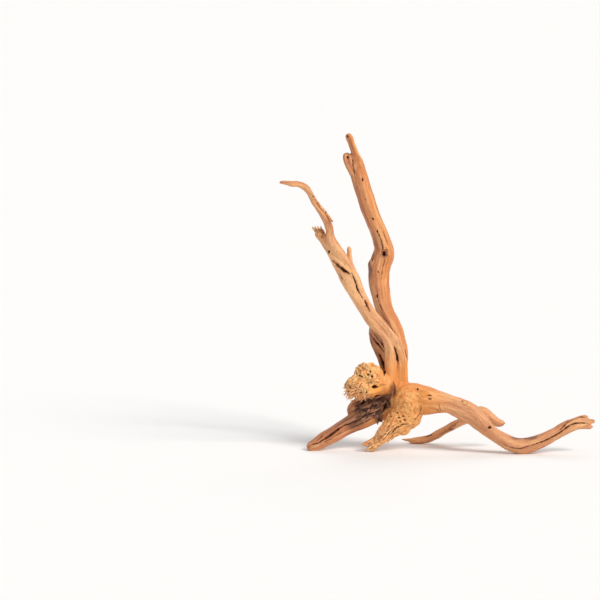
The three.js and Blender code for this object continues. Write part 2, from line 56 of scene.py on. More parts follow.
# name: flutes, their height as a share of the radius, their turns in 100 mm, and the route as
# x, y, z, radius from where the limb grows out to its tip.
LIMBS = {
    "trunk core": (3, 0.04, 0.2, [
        (-40, 2, 40, 12), (-40, 1, 54, 12.2), (-40, 0, 66, 11), (-40.2, 0.5, 75, 9.6),
        (-40.4, 2, 84, 7.8), (-41, 4, 94, 5.6), (-42.5, 6, 104, 4.6), (-46, 9, 113, 3.6)]),
    "left strand": (3, 0.06, 0.7, [
        (-44, -4, 60, 7), (-46, -5.5, 67.3, 6.8), (-46.7, -7, 79.6, 6), (-46.8, -8, 91.8, 5.6),
        (-47, -9.5, 102, 5.5), (-48, -11, 109.4, 5.4), (-51.2, -12.5, 117.7, 5.8),
        (-56.8, -14.5, 125, 6.4), (-63.7, -17, 133, 6.8), (-70.8, -19.5, 143, 6.8),
        (-77.6, -22, 153.4, 6.8), (-83.5, -25, 164, 6.7), (-89.8, -28, 174.4, 6.4),
        (-95.2, -31, 185, 6), (-101, -33, 195.3, 5.6), (-105.5, -34.5, 203.6, 4.9),
        (-110, -35, 210.7, 4.2), (-113.6, -35, 217.3, 4.4), (-116.8, -34.6, 222.5, 5.6),
        (-119.4, -34, 227.4, 6.6)]),
    "web between the strands": (2, 0, 0, [
        (-43, -3, 96, 3.6), (-43.5, -6, 105, 3.6), (-48, -9.5, 115, 3.8), (-55, -13.5, 124, 4.6),
        (-62.8, -17, 134, 4.8), (-70.6, -20.5, 146, 4.8), (-77.7, -24, 158, 4.8),
        (-83.3, -27.5, 169, 4.8), (-88, -30.5, 178, 4.8), (-93.5, -32.5, 188, 4.6)]),
    "right strand": (3, 0.06, 0.8, [
        (-36, -1, 62, 7), (-35, -3, 71, 6.3), (-35, -4, 81.2, 5.7), (-35.3, -5, 91.4, 4.8),
        (-37, -7, 100.8, 4.6), (-41, -9, 109.2, 4.3), (-46.3, -11, 117.4, 4.2),
        (-52.5, -13.5, 126, 4.2), (-59.4, -16.5, 134.4, 4), (-66, -19.5, 143.4, 3.9),
        (-71.8, -22.5, 153.5, 3.9), (-76.4, -25.5, 163.5, 4.1), (-80.8, -28.5, 173.2, 4.5),
        (-84.8, -31.5, 182.5, 4.9), (-89.8, -34, 191.3, 5.4), (-95.6, -36.5, 200, 5.7),
        (-101.2, -38.5, 208.4, 5.2), (-105.4, -40, 215.7, 4.8), (-107.4, -41.5, 221.8, 4.4),
        (-107.8, -43.5, 228.6, 4.1), (-109.5, -46, 235.3, 3.9), (-114, -49, 242.6, 3.6),
        (-119.1, -53, 251, 3.3), (-123.9, -57, 259, 3.2), (-127.2, -60, 265.9, 3.1),
        (-130.4, -62.5, 271.2, 3.3), (-135, -65, 274.6, 3.3), (-140.5, -67.5, 276.4, 3.1),
        (-145, -70, 276.6, 3.2), (-149.8, -72.5, 278.1, 2.5), (-154.2, -74.5, 279, 2.1),
        (-158.4, -75.8, 278.6, 1.3)]),
    "rear strand": (3, 0.1, 0.6, [
        (-67, -16, 136, 3.4), (-64.2, -9, 126.5, 3.8), (-64, -3, 117.4, 3.8),
        (-62.3, 0, 109, 4), (-58.5, 2, 100.5, 4.3), (-54.7, 3, 92.3, 4.6), (-52, 3, 83.2, 5.4),
        (-48, 2, 70, 7)]),
    "inner rear strand": (3, 0.1, 0.6, [
        (-61, -12, 131, 3.4), (-58.5, -7, 123, 3.4), (-56.5, -4, 115, 3.4), (-54, -2, 106, 3.4),
        (-52, -1, 97, 3.6), (-49, 0, 87, 4.4)]),
    "tall branch": (5, 0.032, 0.35, [
        (-36, 1, 66, 7), (-35, 4, 82, 6), (-34.5, 9, 93.4, 6.2), (-37, 13, 104, 7),
        (-41, 17, 115.6, 8), (-45.3, 21, 125.2, 8.6), (-50, 25, 133.7, 8.7),
        (-53.4, 29, 142.1, 8.8), (-55.5, 33, 150.7, 9.3), (-57.3, 38, 162.2, 10.3),
        (-57.4, 42, 173.7, 11), (-55.5, 44, 183.5, 11.2), (-52.9, 44, 191.6, 10.9),
        (-53.4, 42, 200, 9.2), (-56.2, 39, 211.4, 8.5), (-60.5, 36, 222, 8.1),
        (-65, 34, 232.3, 8.2), (-69.2, 33, 243.7, 8.5), (-73, 33, 256.8, 8.3),
        (-75.7, 34, 267.7, 8.1), (-77.7, 34, 277.8, 7.3), (-79, 33, 285.1, 6),
        (-80.7, 31, 291.9, 4.3), (-83, 28, 298.9, 3.7), (-85.7, 25, 306.3, 3.7),
        (-87.8, 23, 312.6, 3.9), (-88.7, 22, 316.6, 3.4)]),
    "shoulder": (2, 0.04, 0, [
        (-58.6, 42, 166, 8), (-60.6, 42, 175, 7.6), (-62.6, 41.5, 182.6, 6.6),
        (-63.6, 41.5, 188.4, 5.4)]),
    "broken stub": (4, 0.1, 0, [
        (-75, 33, 248, 4.4), (-79, 32.5, 262, 4.6), (-82.6, 32, 273, 4.4), (-87, 31, 282.3, 4.6),
        (-89.6, 30.5, 290.6, 4.9), (-90, 30, 296.4, 4.6)]),
    "twig": (2, 0.05, 0, [
        (-86, -31, 183, 3.6), (-87.2, -28, 193, 2.9), (-87.8, -25.5, 200.4, 2.4),
        (-88.4, -24, 209.4, 2)]),
    "arm": (4, 0.055, 0.45, [
        (-45, 1, 46, 9), (-37, -3, 49, 13), (-29, -5, 52.5, 15), (-21, -7.5, 52.5, 15.3),
        (-13, -10.5, 51.5, 14.7),
        (-5, -13, 50.9, 13.1), (3, -15, 49.9, 11.3), (12, -17, 48.7, 9.9), (21, -19, 45.7, 10.1),
        (29, -21, 42, 10.1), (36.5, -23, 37.9, 9.6), (43.5, -25, 31.5, 8.6),
        (51, -27, 24, 7.4), (60, -29, 18, 7.2), (69.5, -30.5, 12.7, 7.5), (77, -31, 9.5, 7.5),
        (83.5, -31, 8.2, 8.2), (91, -31, 9.1, 7.7), (99, -30.5, 11.5, 7.3),
        (107.5, -30, 15, 7.1), (116, -29, 19.6, 6.7), (124.5, -28, 24.1, 6.5),
        (133, -27, 28.4, 6.4), (140.5, -26, 30.8, 6.4), (146, -25, 31.4, 5.4)]),
    "upper finger": (2, 0.1, 0, [
        (136, -25.5, 33, 3.2), (145, -24.5, 36, 2.7), (151, -24, 36.4, 1.9)]),
    "middle finger": (2, 0.1, 0, [
        (142, -26, 32, 3.6), (151, -25.5, 32.8, 2.7), (158.4, -25, 32.4, 1.6)]),
    "lower finger": (2, 0.1, 0, [(139, -27, 28, 3.6), (148, -27, 27.8, 3), (155, -27, 27, 2.4)]),
    "rear finger": (2, 0.1, 0, [
        (141, -22.5, 30, 3.4), (149, -20, 31.4, 2.4), (154.5, -18.5, 32, 1.4)]),
    "thin root": (3, 0.09, 0.5, [
        (40, -16, 38.5, 5.4), (33, -4, 33, 4.5), (25, 4, 27.2, 4.2), (17, 12, 21.8, 4),
        (9, 18, 16.4, 3.9), (0.5, 23, 11, 3.9), (-7, 26.5, 6.8, 3.9), (-16, 29, 4.4, 3.9),
        (-22.5, 30.5, 3.4, 3.7), (-27.5, 31.5, 3, 2.6)]),
    "thin root's splinter": (2, 0.05, 0, [
        (-24, 31, 4.2, 2.4), (-31, 32, 4.4, 1.5), (-35.2, 33, 5, 0.9)]),
    "prong": (3, 0.1, 0.5, [
        (36, -16, 38.5, 5.6), (43, -8, 40.3, 5), (49, -3, 37.1, 4.9), (54.5, 1, 31.7, 4.5),
        (59.5, 4, 27, 4.3), (63.5, 6, 25.3, 3.9), (67, 8, 25.4, 2.6), (69.8, 9, 25.2, 1.2)]),
    "leg": (4, 0.1, 0.1, [
        (-47, 6, 44.4, 12), (-59, 4, 39, 12.2), (-70, 1, 34.2, 10.8), (-80, -2, 29, 9.2),
        (-91, -5, 23.4, 8), (-102.5, -8, 17, 7.4), (-114, -10, 10.6, 6.8), (-122, -11, 6.1, 5.9),
        (-128, -11.5, 4.2, 4.6), (-131, -11.7, 4, 3.2)]),
    "spur": (5, 0.08, 0.2, [
        (-28, -9, 46, 13), (-33.5, -12.5, 38, 13.2), (-40, -15.5, 31, 11.4), (-47, -17.5, 24, 9),
        (-53, -19, 18, 7.6), (-58, -20, 12.8, 6.1), (-62, -20.5, 8, 4.3),
        (-65.4, -21, 4.8, 2.8), (-68.4, -21, 3.2, 1.8)]),
    "upper tip of the spur": (3, 0.1, 0, [
        (-53, -19, 20, 4.4), (-59, -19.5, 15.4, 3.6), (-65, -20, 12, 2.8), (-70.4, -20.4, 9.6, 2),
        (-75.4, -20.6, 8.9, 1.2)]),
}

# name: centre and half-sizes.
BURLS = {
    "crown": ((-41, 4, 44), (15, 13, 15)),
    "crown under the left burl": ((-62, 5, 53), (20, 9, 13)),
    "upper left burl": ((-68, -9, 78.8), (14, 12.5, 10.2)),
    "lower left burl": ((-73, -12, 66.6), (18.5, 14, 12.5)),
    "waist of the left burl": ((-64, -10, 72), (14, 14.5, 12)),
    "bridge to the trunk": ((-55.5, -7, 68), (12.5, 12, 11.5)),
    "flare of the leg": ((-77, 3, 39), (12, 9, 11.5)),
    "front burl": ((-28.5, -11.5, 49.5), (15.5, 15.8, 17)),
    "lower front burl": ((-28, -12.5, 36), (13, 12, 13)),
    "knob": ((-34.5, -14, 24.5), (8.6, 8, 7.8)),
    "lump beside the knob": ((-42, -15.5, 20.6), (6.5, 6.5, 5)),
}

# What is cut into the front of the skin is placed as it is seen from the front and 8 degrees
# above: millimetres right and up. It is then cast onto the skin.
# name: half-width, depth, route.
CRACKS = {
    "thin split under the arm's bend": (0.5, 1.2, [
        (66, 6), (71, 3.7), (76, 2.5), (82, 1.6), (87, 2.8), (95, 5.3), (104, 8.6)]),
    "split along the arm": (0.85, 3.0, [
        (98, 6.2), (104, 8.3), (113, 12.3), (121, 16.8), (128, 21.8), (134, 25.6), (141, 27),
        (150, 26.6)]),
    "upper split at the arm's end": (0.7, 2.2, [
        (122, 20.5), (126, 24.4), (130, 27.8), (136, 31.3), (142, 33), (149, 32.8)]),
    "split along the leg": (0.8, 1.8, [
        (-76, 31), (-80, 29.4), (-84.5, 27.2), (-88, 25.6), (-92, 24.3), (-96, 22), (-99.5, 20.6),
        (-103, 17.8)]),
    "wide split in the leg": (1.9, 3.0, [
        (-98, 20.8), (-103.5, 16.8), (-107, 14.6), (-110, 12.2), (-115, 8.6)]),
    "split at the toe": (0.8, 1.8, [(-111, 12), (-115, 9), (-119, 6.6), (-124, 5.2)]),
    "notch of the toe": (0.9, 1.6, [(-114, 15.4), (-117.4, 12), (-120, 9.4)]),
    "lower split in the leg": (0.5, 1.2, [(-95, 17), (-101, 13.6), (-107, 10), (-116, 5.8)]),
    "crease in the leg's side": (0.6, 1.2, [(-74, 27), (-80, 23.6), (-86, 19.6)]),
    "slit above the trunk": (1.25, 3.6, [
        (-42.2, 102.5), (-41, 97), (-40, 91.8), (-38.7, 86)]),
    "upper slit between the strands": (1.3, 3.2, [(-72.3, 149.4), (-70, 143.8), (-67.2, 138.8)]),
    "lower slit between the strands": (0.9, 2.2, [
        (-86, 177), (-82, 167.8), (-79.5, 159.8), (-75, 151.8)]),
    "slit under the peeled lip": (2.0, 3.4, [
        (-104, 188.6), (-99, 183.5), (-94, 179.8), (-87.6, 175.6)]),
    "notch in the left strand": (0.9, 1.6, [(-98, 175.4), (-95.2, 169.6)]),
    "groove up from the knuckle": (0.7, 1.1, [
        (-59.5, 219), (-57, 212.8), (-54.7, 206.8), (-54, 200.6)]),
    "fine line above the knuckle": (0.45, 0.8, [(-53.5, 219), (-51, 212), (-49, 206)]),
    "line below the knuckle": (0.5, 0.8, [(-51.5, 190.5), (-54, 181), (-55, 171)]),
    "scar on the shoulder": (1.0, 2.2, [(-63, 194.4), (-64.3, 190.6), (-65.6, 187.4)]),
    "line under the pit": (0.5, 1.0, [(-59.7, 153), (-57.5, 146), (-54, 138)]),
    "slit in the left burl": (0.7, 2.4, [(-59.5, 62.8), (-56, 64.4), (-52, 65.4)]),
    "crevice beside the trunk": (2.1, 4.6, [
        (-57.4, 95), (-54.4, 87), (-52.4, 79), (-53, 73.4)]),
    "gap beside the rear strand": (1.0, 2.6, [(-67.5, 116), (-60, 106.8), (-53, 97.6)]),
    "gap inside the rear strand": (0.8, 2.2, [(-62.5, 116), (-57, 108), (-52, 101.4)]),
    "crease under the front burl": (1.5, 2.6, [
        (-54.5, 9.2), (-51, 12.5), (-42.4, 20.8), (-35, 24.6), (-29.6, 26)]),
    "slit behind the front burl": (0.8, 1.8, [(-17.3, 36.2), (-19.8, 33), (-22.2, 30)]),
    "dark marks beside the front burl": (0.6, 1.0, [(-20.4, 55.4), (-18.6, 52.6), (-17.4, 50.8)]),
    "lower dark mark": (0.5, 0.7, [(-16.4, 44.6), (-16.2, 41), (-17, 38.4)]),
    "cleft between trunk and burl": (1.8, 0.8, [(-43.8, 68), (-42.8, 61), (-43.6, 54)]),
    "slit under the burl's roll": (0.8, 1.6, [(-70, 52.4), (-64, 53), (-57.5, 55)]),
    "deep gap at the hollow's right": (1.8, 3.0, [(-49, 50), (-51.4, 44), (-54, 38), (-57.4, 33)]),
    "gap along the hollow": (0.9, 2.4, [(-60, 45.4), (-67, 42), (-74, 38.4), (-80, 35)]),
    "lower gap along the hollow": (1.0, 2.4, [(-62, 37.4), (-68, 35.4), (-74, 32.4), (-79, 29.8)]),
    "upper gap in the hollow": (1.2, 2.6, [(-72, 48), (-77, 45), (-82, 43.6)]),
    "split in the spur": (0.7, 1.6, [(-62, 6), (-57, 11), (-52, 16), (-47, 22)]),
    "groove on the thin root": (0.6, 1.1, [
        (-19, 11.6), (-6.3, 13), (-3, 15.4), (4, 20.2), (11, 24.6)]),
    "dark side of the thin root": (0.8, 0.8, [(14, 22.2), (18, 24.6), (22, 28)]),
    "ring round the arm's knot": (0.45, 0.45, [
        (24.4, 47.6), (25.6, 45.6), (28.4, 45.2), (30, 46.8), (28.8, 48.6), (26, 49.2),
        (24.4, 47.6)]),
    "wrinkle across the arm": (0.4, 0.6, [(1.4, 46), (2.2, 42.4), (3.4, 39.6)]),
    "second wrinkle across the arm": (0.4, 0.6, [(-0.8, 41), (1.4, 38.6), (3.8, 37.8)]),
    "seam behind the right strand": (1.3, 2.4, [
        (-60.4, 138.4), (-56, 132.4), (-50.6, 126), (-45.4, 120.4), (-41.4, 114.6)]),
    "lower seam behind the strand": (1.1, 2.4, [
        (-39, 110.6), (-36.4, 106.6), (-33.4, 101.4), (-30.6, 95), (-29.4, 89)]),
    "seam beside the stub": (0.8, 1.0, [(-84.6, 291), (-83.4, 281.8), (-82, 271.5)]),
}

# The same for what is cut into the rear of the skin.
REAR_CRACKS = {
    "split behind the tall branch": (0.8, 2.0, [
        (-62, 232), (-58, 222), (-53.5, 211), (-50.5, 202), (-50, 192)]),
    "upper split behind the tall branch": (0.6, 1.4, [
        (-79, 280), (-76, 268), (-73.5, 258), (-70, 248)]),
    "lower split behind the tall branch": (0.9, 2.2, [
        (-52, 168), (-53, 156), (-50, 144), (-45, 133), (-39, 122)]),
    "split behind the strands": (0.8, 1.8, [(-104, 198), (-96, 184), (-90, 173), (-84, 161)]),
    "short split behind the strands": (0.7, 1.6, [(-82, 152), (-76, 142), (-71, 134)]),
    "split behind the arm": (0.9, 2.2, [(2, 49), (14, 47), (25, 43), (36, 36)]),
    "split behind the arm's bend": (0.7, 1.8, [
        (74, 7.5), (86, 4.6), (100, 9), (114, 16), (128, 24)]),
    "split behind the leg": (1.0, 2.4, [(-72, 30), (-86, 24), (-100, 16), (-114, 9)]),
    "split in the crown": (0.8, 1.6, [(-44, 62), (-50, 58), (-55, 51), (-62, 49), (-70, 42)]),
    "short split in the crown": (0.8, 1.8, [(-34, 40), (-41, 35), (-48, 33)]),
}

# Raised lips and ridges, and soft valleys where the height is below 0, which get a little painted
# shade: half-width, height, route.
LIPS = {
    "valley between the strands": (2.8, -1.9, [
        (-73, 143.5), (-69, 137), (-62.5, 129), (-57, 123.5), (-49.5, 115.6), (-44.4, 107.5),
        (-42, 101)]),
    "ridge of the left strand": (2.4, 0.8, [
        (-78, 148), (-71, 137), (-64, 128), (-57, 119.5), (-50, 111), (-47.4, 100)]),
    "edge of the right strand": (1.4, 0.7, [
        (-62, 137), (-55.5, 129.5), (-47.5, 120), (-41.5, 111), (-37.4, 104)]),
    "peeled lip": (1.5, 2.0, [(-106.5, 195.6), (-101, 190.4), (-94, 184), (-86.5, 177.4)]),
    "ring on the thin branch": (1.2, 0.9, [(-128, 256.5), (-125, 254.5), (-122.3, 253.5)]),
    "second ring on the thin branch": (1.0, 0.7, [(-125.6, 251), (-123, 249.4), (-120.6, 249.2)]),
    "knot on the arm": (1.2, 0.7, [(26, 47.2), (28.6, 46.8)]),
    "bump on the tall branch": (1.7, 0.9, [(-68.4, 268), (-67.2, 264), (-66.6, 260)]),
    "nick under the top": (1.3, 0.8, [(-78.6, 296), (-77.6, 292), (-77, 289)]),
    "rim of the stub": (1.3, 0.9, [(-91.6, 287), (-92, 292.6), (-90.4, 296.4), (-87, 296.8)]),
    "roll under the hole in the left burl": (2.4, 1.0, [(-70, 57), (-63, 57.6), (-56, 60)]),
    "rib of the spur": (1.3, 0.9, [(-47, 28), (-53, 20), (-61, 11), (-67, 5)]),
    "lip over the slit in the left burl": (1.4, 0.7, [(-66, 66), (-59, 66.6), (-53, 68)]),
    "upper ridge of the leg": (1.8, 0.8, [(-80, 34), (-95, 25), (-112, 14.6)]),
}

# Holes and pits: where, half-sizes right and up, depth.
HOLES = {
    "hole in the left burl": ((-62.2, 63.1), (3.3, 1.6), 5.5),
    "bowl round the knot hole": ((-52, 197.6), (3.2, 4.2), 1.5),
    "knot hole": ((-52.7, 195.8), (1.8, 2.1), 3.8),
    "hollow of the frayed stub": ((-116, 220.6), (2.2, 1.4), 2.4),
    "pit above the groove": ((-59.4, 218.6), (0.9, 1.6), 1.8),
    "pit in the left strand": ((-108.4, 197.6), (0.9, 1.9), 1.6),
    "pit on the tall branch": ((-59.7, 153.4), (0.9, 2.0), 1.8),
    "hole in the stub": ((-89.3, 292.6), (1.2, 1.7), 2.2),
    "hollow tip of the tall branch": ((-89.6, 313), (0.9, 1.6), 1.6),
    "upper pit on the tall branch": ((-74.3, 270.3), (0.7, 1.9), 1.4),
    "middle pit on the tall branch": ((-71.4, 250.6), (0.5, 1.3), 0.9),
    "lower pit on the tall branch": ((-63.8, 231), (0.8, 1.7), 1.4),
    "mark on the tall branch": ((-58.6, 178), (0.8, 0.8), 0.7),
    "pit of the thin branch's ring": ((-124, 252), (0.8, 0.6), 1.0),
    "eye of the arm's ring knot": ((25.2, 48.4), (0.8, 0.5), 0.8),
    "pit in the arm's root": ((-19.4, 60.8), (0.9, 1.4), 1.4),
    "front pit in the arm's root": ((-8, 54.5), (1.9, 0.6), 1.0),
    "lower pit in the arm's root": ((-7.4, 51), (1.7, 0.6), 1.0),
    "pit in the arm": ((51.8, 22.8), (1.5, 1.1), 2.0),
    "first pit in the left burl": ((-77.5, 74.2), (1.1, 0.9), 1.8),
    "second pit in the left burl": ((-75.2, 73.2), (0.9, 1.2), 2.0),
    "third pit in the left burl": ((-69, 75.2), (1.3, 0.8), 1.8),
    "fourth pit in the left burl": ((-66.8, 78.8), (1.0, 1.1), 1.8),
    "fifth pit in the left burl": ((-65, 73.5), (1.0, 1.3), 1.8),
    "sixth pit in the left burl": ((-70.2, 80.5), (0.9, 0.7), 1.4),
    "first gap between the fibres": ((-88.5, 58.6), (1.5, 0.8), 2.0),
    "second gap between the fibres": ((-83.8, 61.8), (1.4, 0.7), 2.0),
    "third gap between the fibres": ((-82, 59), (1.4, 0.8), 2.2),
    "fourth gap between the fibres": ((-78.4, 60.5), (1.5, 0.8), 2.2),
    "fifth gap between the fibres": ((-85.4, 55.6), (1.6, 0.8), 2.0),
    "sixth gap between the fibres": ((-80.2, 53.6), (1.4, 0.8), 2.0),
    "seventh gap between the fibres": ((-76.4, 57), (1.2, 0.9), 2.0),
    "eighth gap between the fibres": ((-87.6, 62.6), (1.2, 0.7), 2.0),
    "pit in the front burl": ((-39.8, 37.2), (0.9, 0.7), 0.7),
    "pit under it": ((-38.2, 32.4), (1.3, 0.8), 0.8),
    "pit beside it": ((-34.2, 33.8), (1.8, 0.7), 0.8),
    "low pit": ((-32.4, 30.0), (1.4, 1.2), 1.0),
    "lowest pit": ((-37, 28.6), (1.0, 1.2), 0.8),
    "right low pit": ((-28.4, 33.6), (0.8, 0.8), 0.6),
    "pit by the hollow": ((-46.2, 33.4), (0.9, 0.9), 1.2),
    "hole in the spur": ((-58.2, 10.6), (1.6, 1.0), 2.4),
    "upper hole in the spur": ((-52.8, 15.6), (0.9, 0.7), 1.6),
}

# Stains, and a painted shadow at the foot of the trunk in the cleft beside the front burl: where,
# half-sizes right and up.
STAINS_AND_SHADOWS = {
    "top of the arm's bend": ((87, 13), (14, 2.4)),
    "thin root's dark top": ((-6.7, 14.6), (3.4, 1.6)),
    "thin root's dark edge": ((15.5, 20.2), (3, 1.4)),
    "painted shadow at the foot of the trunk": ((-44, 59), (4, 7)),
    "shoulder's side": ((-67, 181), (2.6, 9)),
    "under the knuckle": ((-52, 196), (3.4, 4)),
}

# Single strands of torn fibre that lie on the skin and may run past its edge: thickness, route.
STRANDS = [
    (1.4, [(-120.4, 247.5), (-118, 243.6), (-114.2, 239), (-110.8, 235), (-107.8, 231.4),
           (-104.2, 226.6)]),
    (1.4, [(-114, 210.5), (-118, 214.5), (-121.8, 218.4), (-125.2, 222.8)]),
    (1.2, [(-114.4, 213), (-118, 217), (-120.6, 220), (-122.6, 223.4)]),
    (1.1, [(-114.6, 215), (-117, 218.6), (-118.8, 221), (-119.8, 223.8)]),
    (1.0, [(-113.6, 216), (-115.6, 220), (-116.6, 223.4)]),
    (0.9, [(-111.6, 216), (-112.8, 220), (-113, 223.4)]),
    (0.75, [(-74, 67.3), (-76.5, 62.8), (-78.5, 57.8), (-80, 52.3)]),
    (0.6, [(-78, 65.8), (-83, 62.8), (-88, 59.8), (-92.6, 58.2)]),
    (0.6, [(-77, 61.8), (-82, 59.3), (-87, 56.3), (-91.8, 52.8)]),
    (0.6, [(-79.5, 56.8), (-84, 53.8), (-87.8, 50)]),
    (0.6, [(-82, 66.8), (-87, 65.3), (-92, 63.3), (-94.4, 61.6)]),
    (0.55, [(-85, 70.8), (-89, 68.3), (-93, 65.3)]),
    (0.6, [(-77, 52.3), (-82, 49.8), (-87, 48.2)]),
    (0.6, [(-71, 53.8), (-76, 50.8), (-80.6, 47.6)]),
    (0.5, [(-75.4, 69), (-79, 63), (-82.6, 56)]),
    (0.5, [(-73, 62), (-75, 57), (-76.4, 51.4)]),
    (0.5, [(-44, 37.8), (-47.5, 29.8), (-51, 21.8), (-56, 13.8), (-61, 7.8)]),
    (0.5, [(-47, 38.8), (-50, 30.8), (-54, 22.8), (-59, 14.8)]),
    (0.5, [(-41, 35.8), (-44, 27.8), (-48, 19.8), (-53, 12.8)]),
    (0.5, [(-49, 25.8), (-54, 17.8), (-61, 10.8), (-67, 5.8)]),
    (0.9, [(-52, 15.8), (-59, 8.8), (-66, 3.3), (-69.6, 1.4)]),
    (0.8, [(-61, 12.8), (-67, 8.3), (-72.5, 6.3), (-75, 5.6)]),
    (0.5, [(-45, 19.8), (-50, 12.8), (-55, 7.8)]),
    (0.45, [(-41, 25.8), (-47, 17.8), (-53, 10.8)]),
    (0.6, [(-64, 9), (-70, 4.6), (-73.4, 4)]),
]

# Noise and routes

NOISE_REACH = 1.7  # brings the noise to about -1 and 1
LEAST_RADIUS = 0.02  # mm: of a limb's tip
_rng = np.random.default_rng(SEED)
SHUFFLE = _rng.permutation(256)
SLOPES = _rng.normal(size=(256, 3))
SLOPES /= np.linalg.norm(SLOPES, axis=1, keepdims=True)


def soft_noise(points, size, shift=0.0):
    """Smooth noise from about -1 to 1 at each point, with features about `size` across."""
    scaled = points / size + shift
    cell = np.floor(scaled).astype(int)
    within = scaled - cell
    eased = within**3 * (within * (within * 6 - 15) + 10)
    total = np.zeros(len(points))
    for corner in itertools.product((0, 1), repeat=3):
        x, y, z = ((cell + corner) & 255).T
        slope = SLOPES[SHUFFLE[(SHUFFLE[(SHUFFLE[x] + y) & 255] + z) & 255]]
        share = np.prod(np.where(corner, eased, 1 - eased), axis=1)
        total += share * ((within - corner) * slope).sum(axis=1)
    return total * NOISE_REACH


def smooth_step(value, low, high):
    """0 below `low`, 1 above `high`, eased between; the other way round if high is below low."""
    share = np.clip((value - low) / (high - low), 0, 1)
    return share * share * (3 - 2 * share)


def follow(stations, step):
    """Points about `step` apart on a smooth curve through the stations; all columns are eased."""
    rows = np.array(stations, float)
    rows = np.vstack([2 * rows[0] - rows[1], rows, 2 * rows[-1] - rows[-2]])
    out = []
    for a, b, c, d in zip(rows, rows[1:], rows[2:], rows[3:]):
        gaps = [max(np.linalg.norm((q - p)[:3]), 1e-6) ** 0.5 for p, q in ((a, b), (b, c), (c, d))]
        t0, t1 = 0.0, gaps[0]
        t2, t3 = t1 + gaps[1], t1 + gaps[1] + gaps[2]
        count = max(1, round(np.linalg.norm((c - b)[:3]) / step))
        for t in np.linspace(t1, t2, count, endpoint=False):
            p01 = a + (b - a) * (t - t0) / (t1 - t0)
            p12 = b + (c - b) * (t - t1) / (t2 - t1)
            p23 = c + (d - c) * (t - t2) / (t3 - t2)
            p012 = p01 + (p12 - p01) * (t - t0) / (t2 - t0)
            p123 = p12 + (p23 - p12) * (t - t1) / (t3 - t1)
            out.append(p012 + (p123 - p012) * (t - t1) / (t2 - t1))
    out.append(rows[-2])
    return np.array(out)


class Trail:
    """A limb's centre line with its radii, distances along it and untwisted side directions."""

    def __init__(self, name, stations, step=2.0):
        rows = follow(stations, step)
        self.name = name
        self.centres, self.radii = rows[:, :3], rows[:, 3]
        steps = np.linalg.norm(np.diff(self.centres, axis=0), axis=1)
        self.along = np.concatenate([[0], np.cumsum(steps)])
        ways = np.gradient(self.centres, axis=0)
        self.ways = ways / np.linalg.norm(ways, axis=1, keepdims=True)
        side = Vector(self.ways[0]).orthogonal().normalized()
        sides = []
        for before, way in zip([self.ways[0], *self.ways], self.ways):
            side = Vector(before).rotation_difference(Vector(way)) @ side
            side = (side - side.dot(Vector(way)) * Vector(way)).normalized()
            sides.append(np.array(side))
        self.sides = np.array(sides)
        self.ups = np.cross(self.ways, self.sides)

    def skin_radius(self):
        """The radii with both ends drawn in to a round tip."""
        from_end = np.minimum(self.along, self.along[-1] - self.along)
        near = np.clip(from_end / self.radii, 0, 1)
        return np.maximum(self.radii * np.sqrt(1 - (1 - near) ** 2), LEAST_RADIUS)

    def place(self, i, radius):
        """The matrix that takes a unit disc to the limb's cross-section at point i."""
        columns = (self.sides[i] * radius, self.ups[i] * radius, self.ways[i] * radius)
        turn = Matrix([[columns[c][r] for c in range(3)] for r in range(3)]).to_4x4()
        return Matrix.Translation(Vector(self.centres[i])) @ turn


TRAILS = [Trail(name, limb[3]) for name, limb in LIMBS.items()]

# Growing and fusing

LIMB_SIDES = 20
WOOD_VOXEL = 1.0  # mm
MOST_TRIANGLES = 185_000
BLOCK = 4000  # points that are measured at a time
FAR_OFF = 99.0  # mm: stands for whatever isn't near


def grow_limb(bm, trail, sides):
    """Extrudes a disc along the trail."""
    radii = trail.skin_radius()
    place = trail.place(0, radii[0])
    disc = bmesh.ops.create_circle(bm, cap_ends=True, radius=1.0, segments=sides, matrix=place)
    face = disc["verts"][0].link_faces[0]
    for i in range(1, len(radii)):
        grown = bmesh.ops.extrude_face_region(bm, geom=[face])["geom"]
        verts = [part for part in grown if isinstance(part, bmesh.types.BMVert)]
        face = next(part for part in grown if isinstance(part, bmesh.types.BMFace))
        onward = trail.place(i, radii[i])
        bmesh.ops.transform(bm, matrix=onward @ place.inverted(), verts=verts)
        place = onward


def grow_and_add(bm, trail, sides=LIMB_SIDES):
    """Grows a limb in a small mesh of its own, which is much faster, and adds it to bm."""
    own = bmesh.new()
    grow_limb(own, trail, sides)
    mesh = bpy.data.meshes.new("own")
    own.to_mesh(mesh)
    own.free()
    bm.from_mesh(mesh)
    bpy.data.meshes.remove(mesh)


def grow_burl(bm, centre, half):
    """Adds a ball stretched to the half-sizes."""
    size = Matrix.Diagonal((*half, 1.0))
    place = Matrix.Translation(Vector(centre)) @ size
    bmesh.ops.create_icosphere(bm, subdivisions=4, radius=1.0, matrix=place)


def to_object(bm, name):
    """Turns bm into an object of the scene, and frees it."""
    mesh = bpy.data.meshes.new(name)
    bm.to_mesh(mesh)
    bm.free()
    thing = bpy.data.objects.new(name, mesh)
    bpy.context.scene.collection.objects.link(thing)
    return thing


def keep_result(thing):
    """Puts what the thing's modifiers make in place of its mesh."""
    settled = thing.evaluated_get(bpy.context.evaluated_depsgraph_get())
    mesh = bpy.data.meshes.new_from_object(settled)
    thing.modifiers.clear()
    thing.data = mesh


def fuse(thing, voxel):
    """Turns overlapping closed shapes into one even skin."""
    remesh = thing.modifiers.new("fuse", "REMESH")
    remesh.mode = "VOXEL"
    remesh.voxel_size = voxel
    keep_result(thing)


def points_of(mesh):
    points = np.empty(len(mesh.vertices) * 3)
    mesh.vertices.foreach_get("co", points)
    return points.reshape(-1, 3)


def set_points(mesh, points):
    mesh.vertices.foreach_set("co", np.ascontiguousarray(points, np.float32).ravel())
    mesh.update()


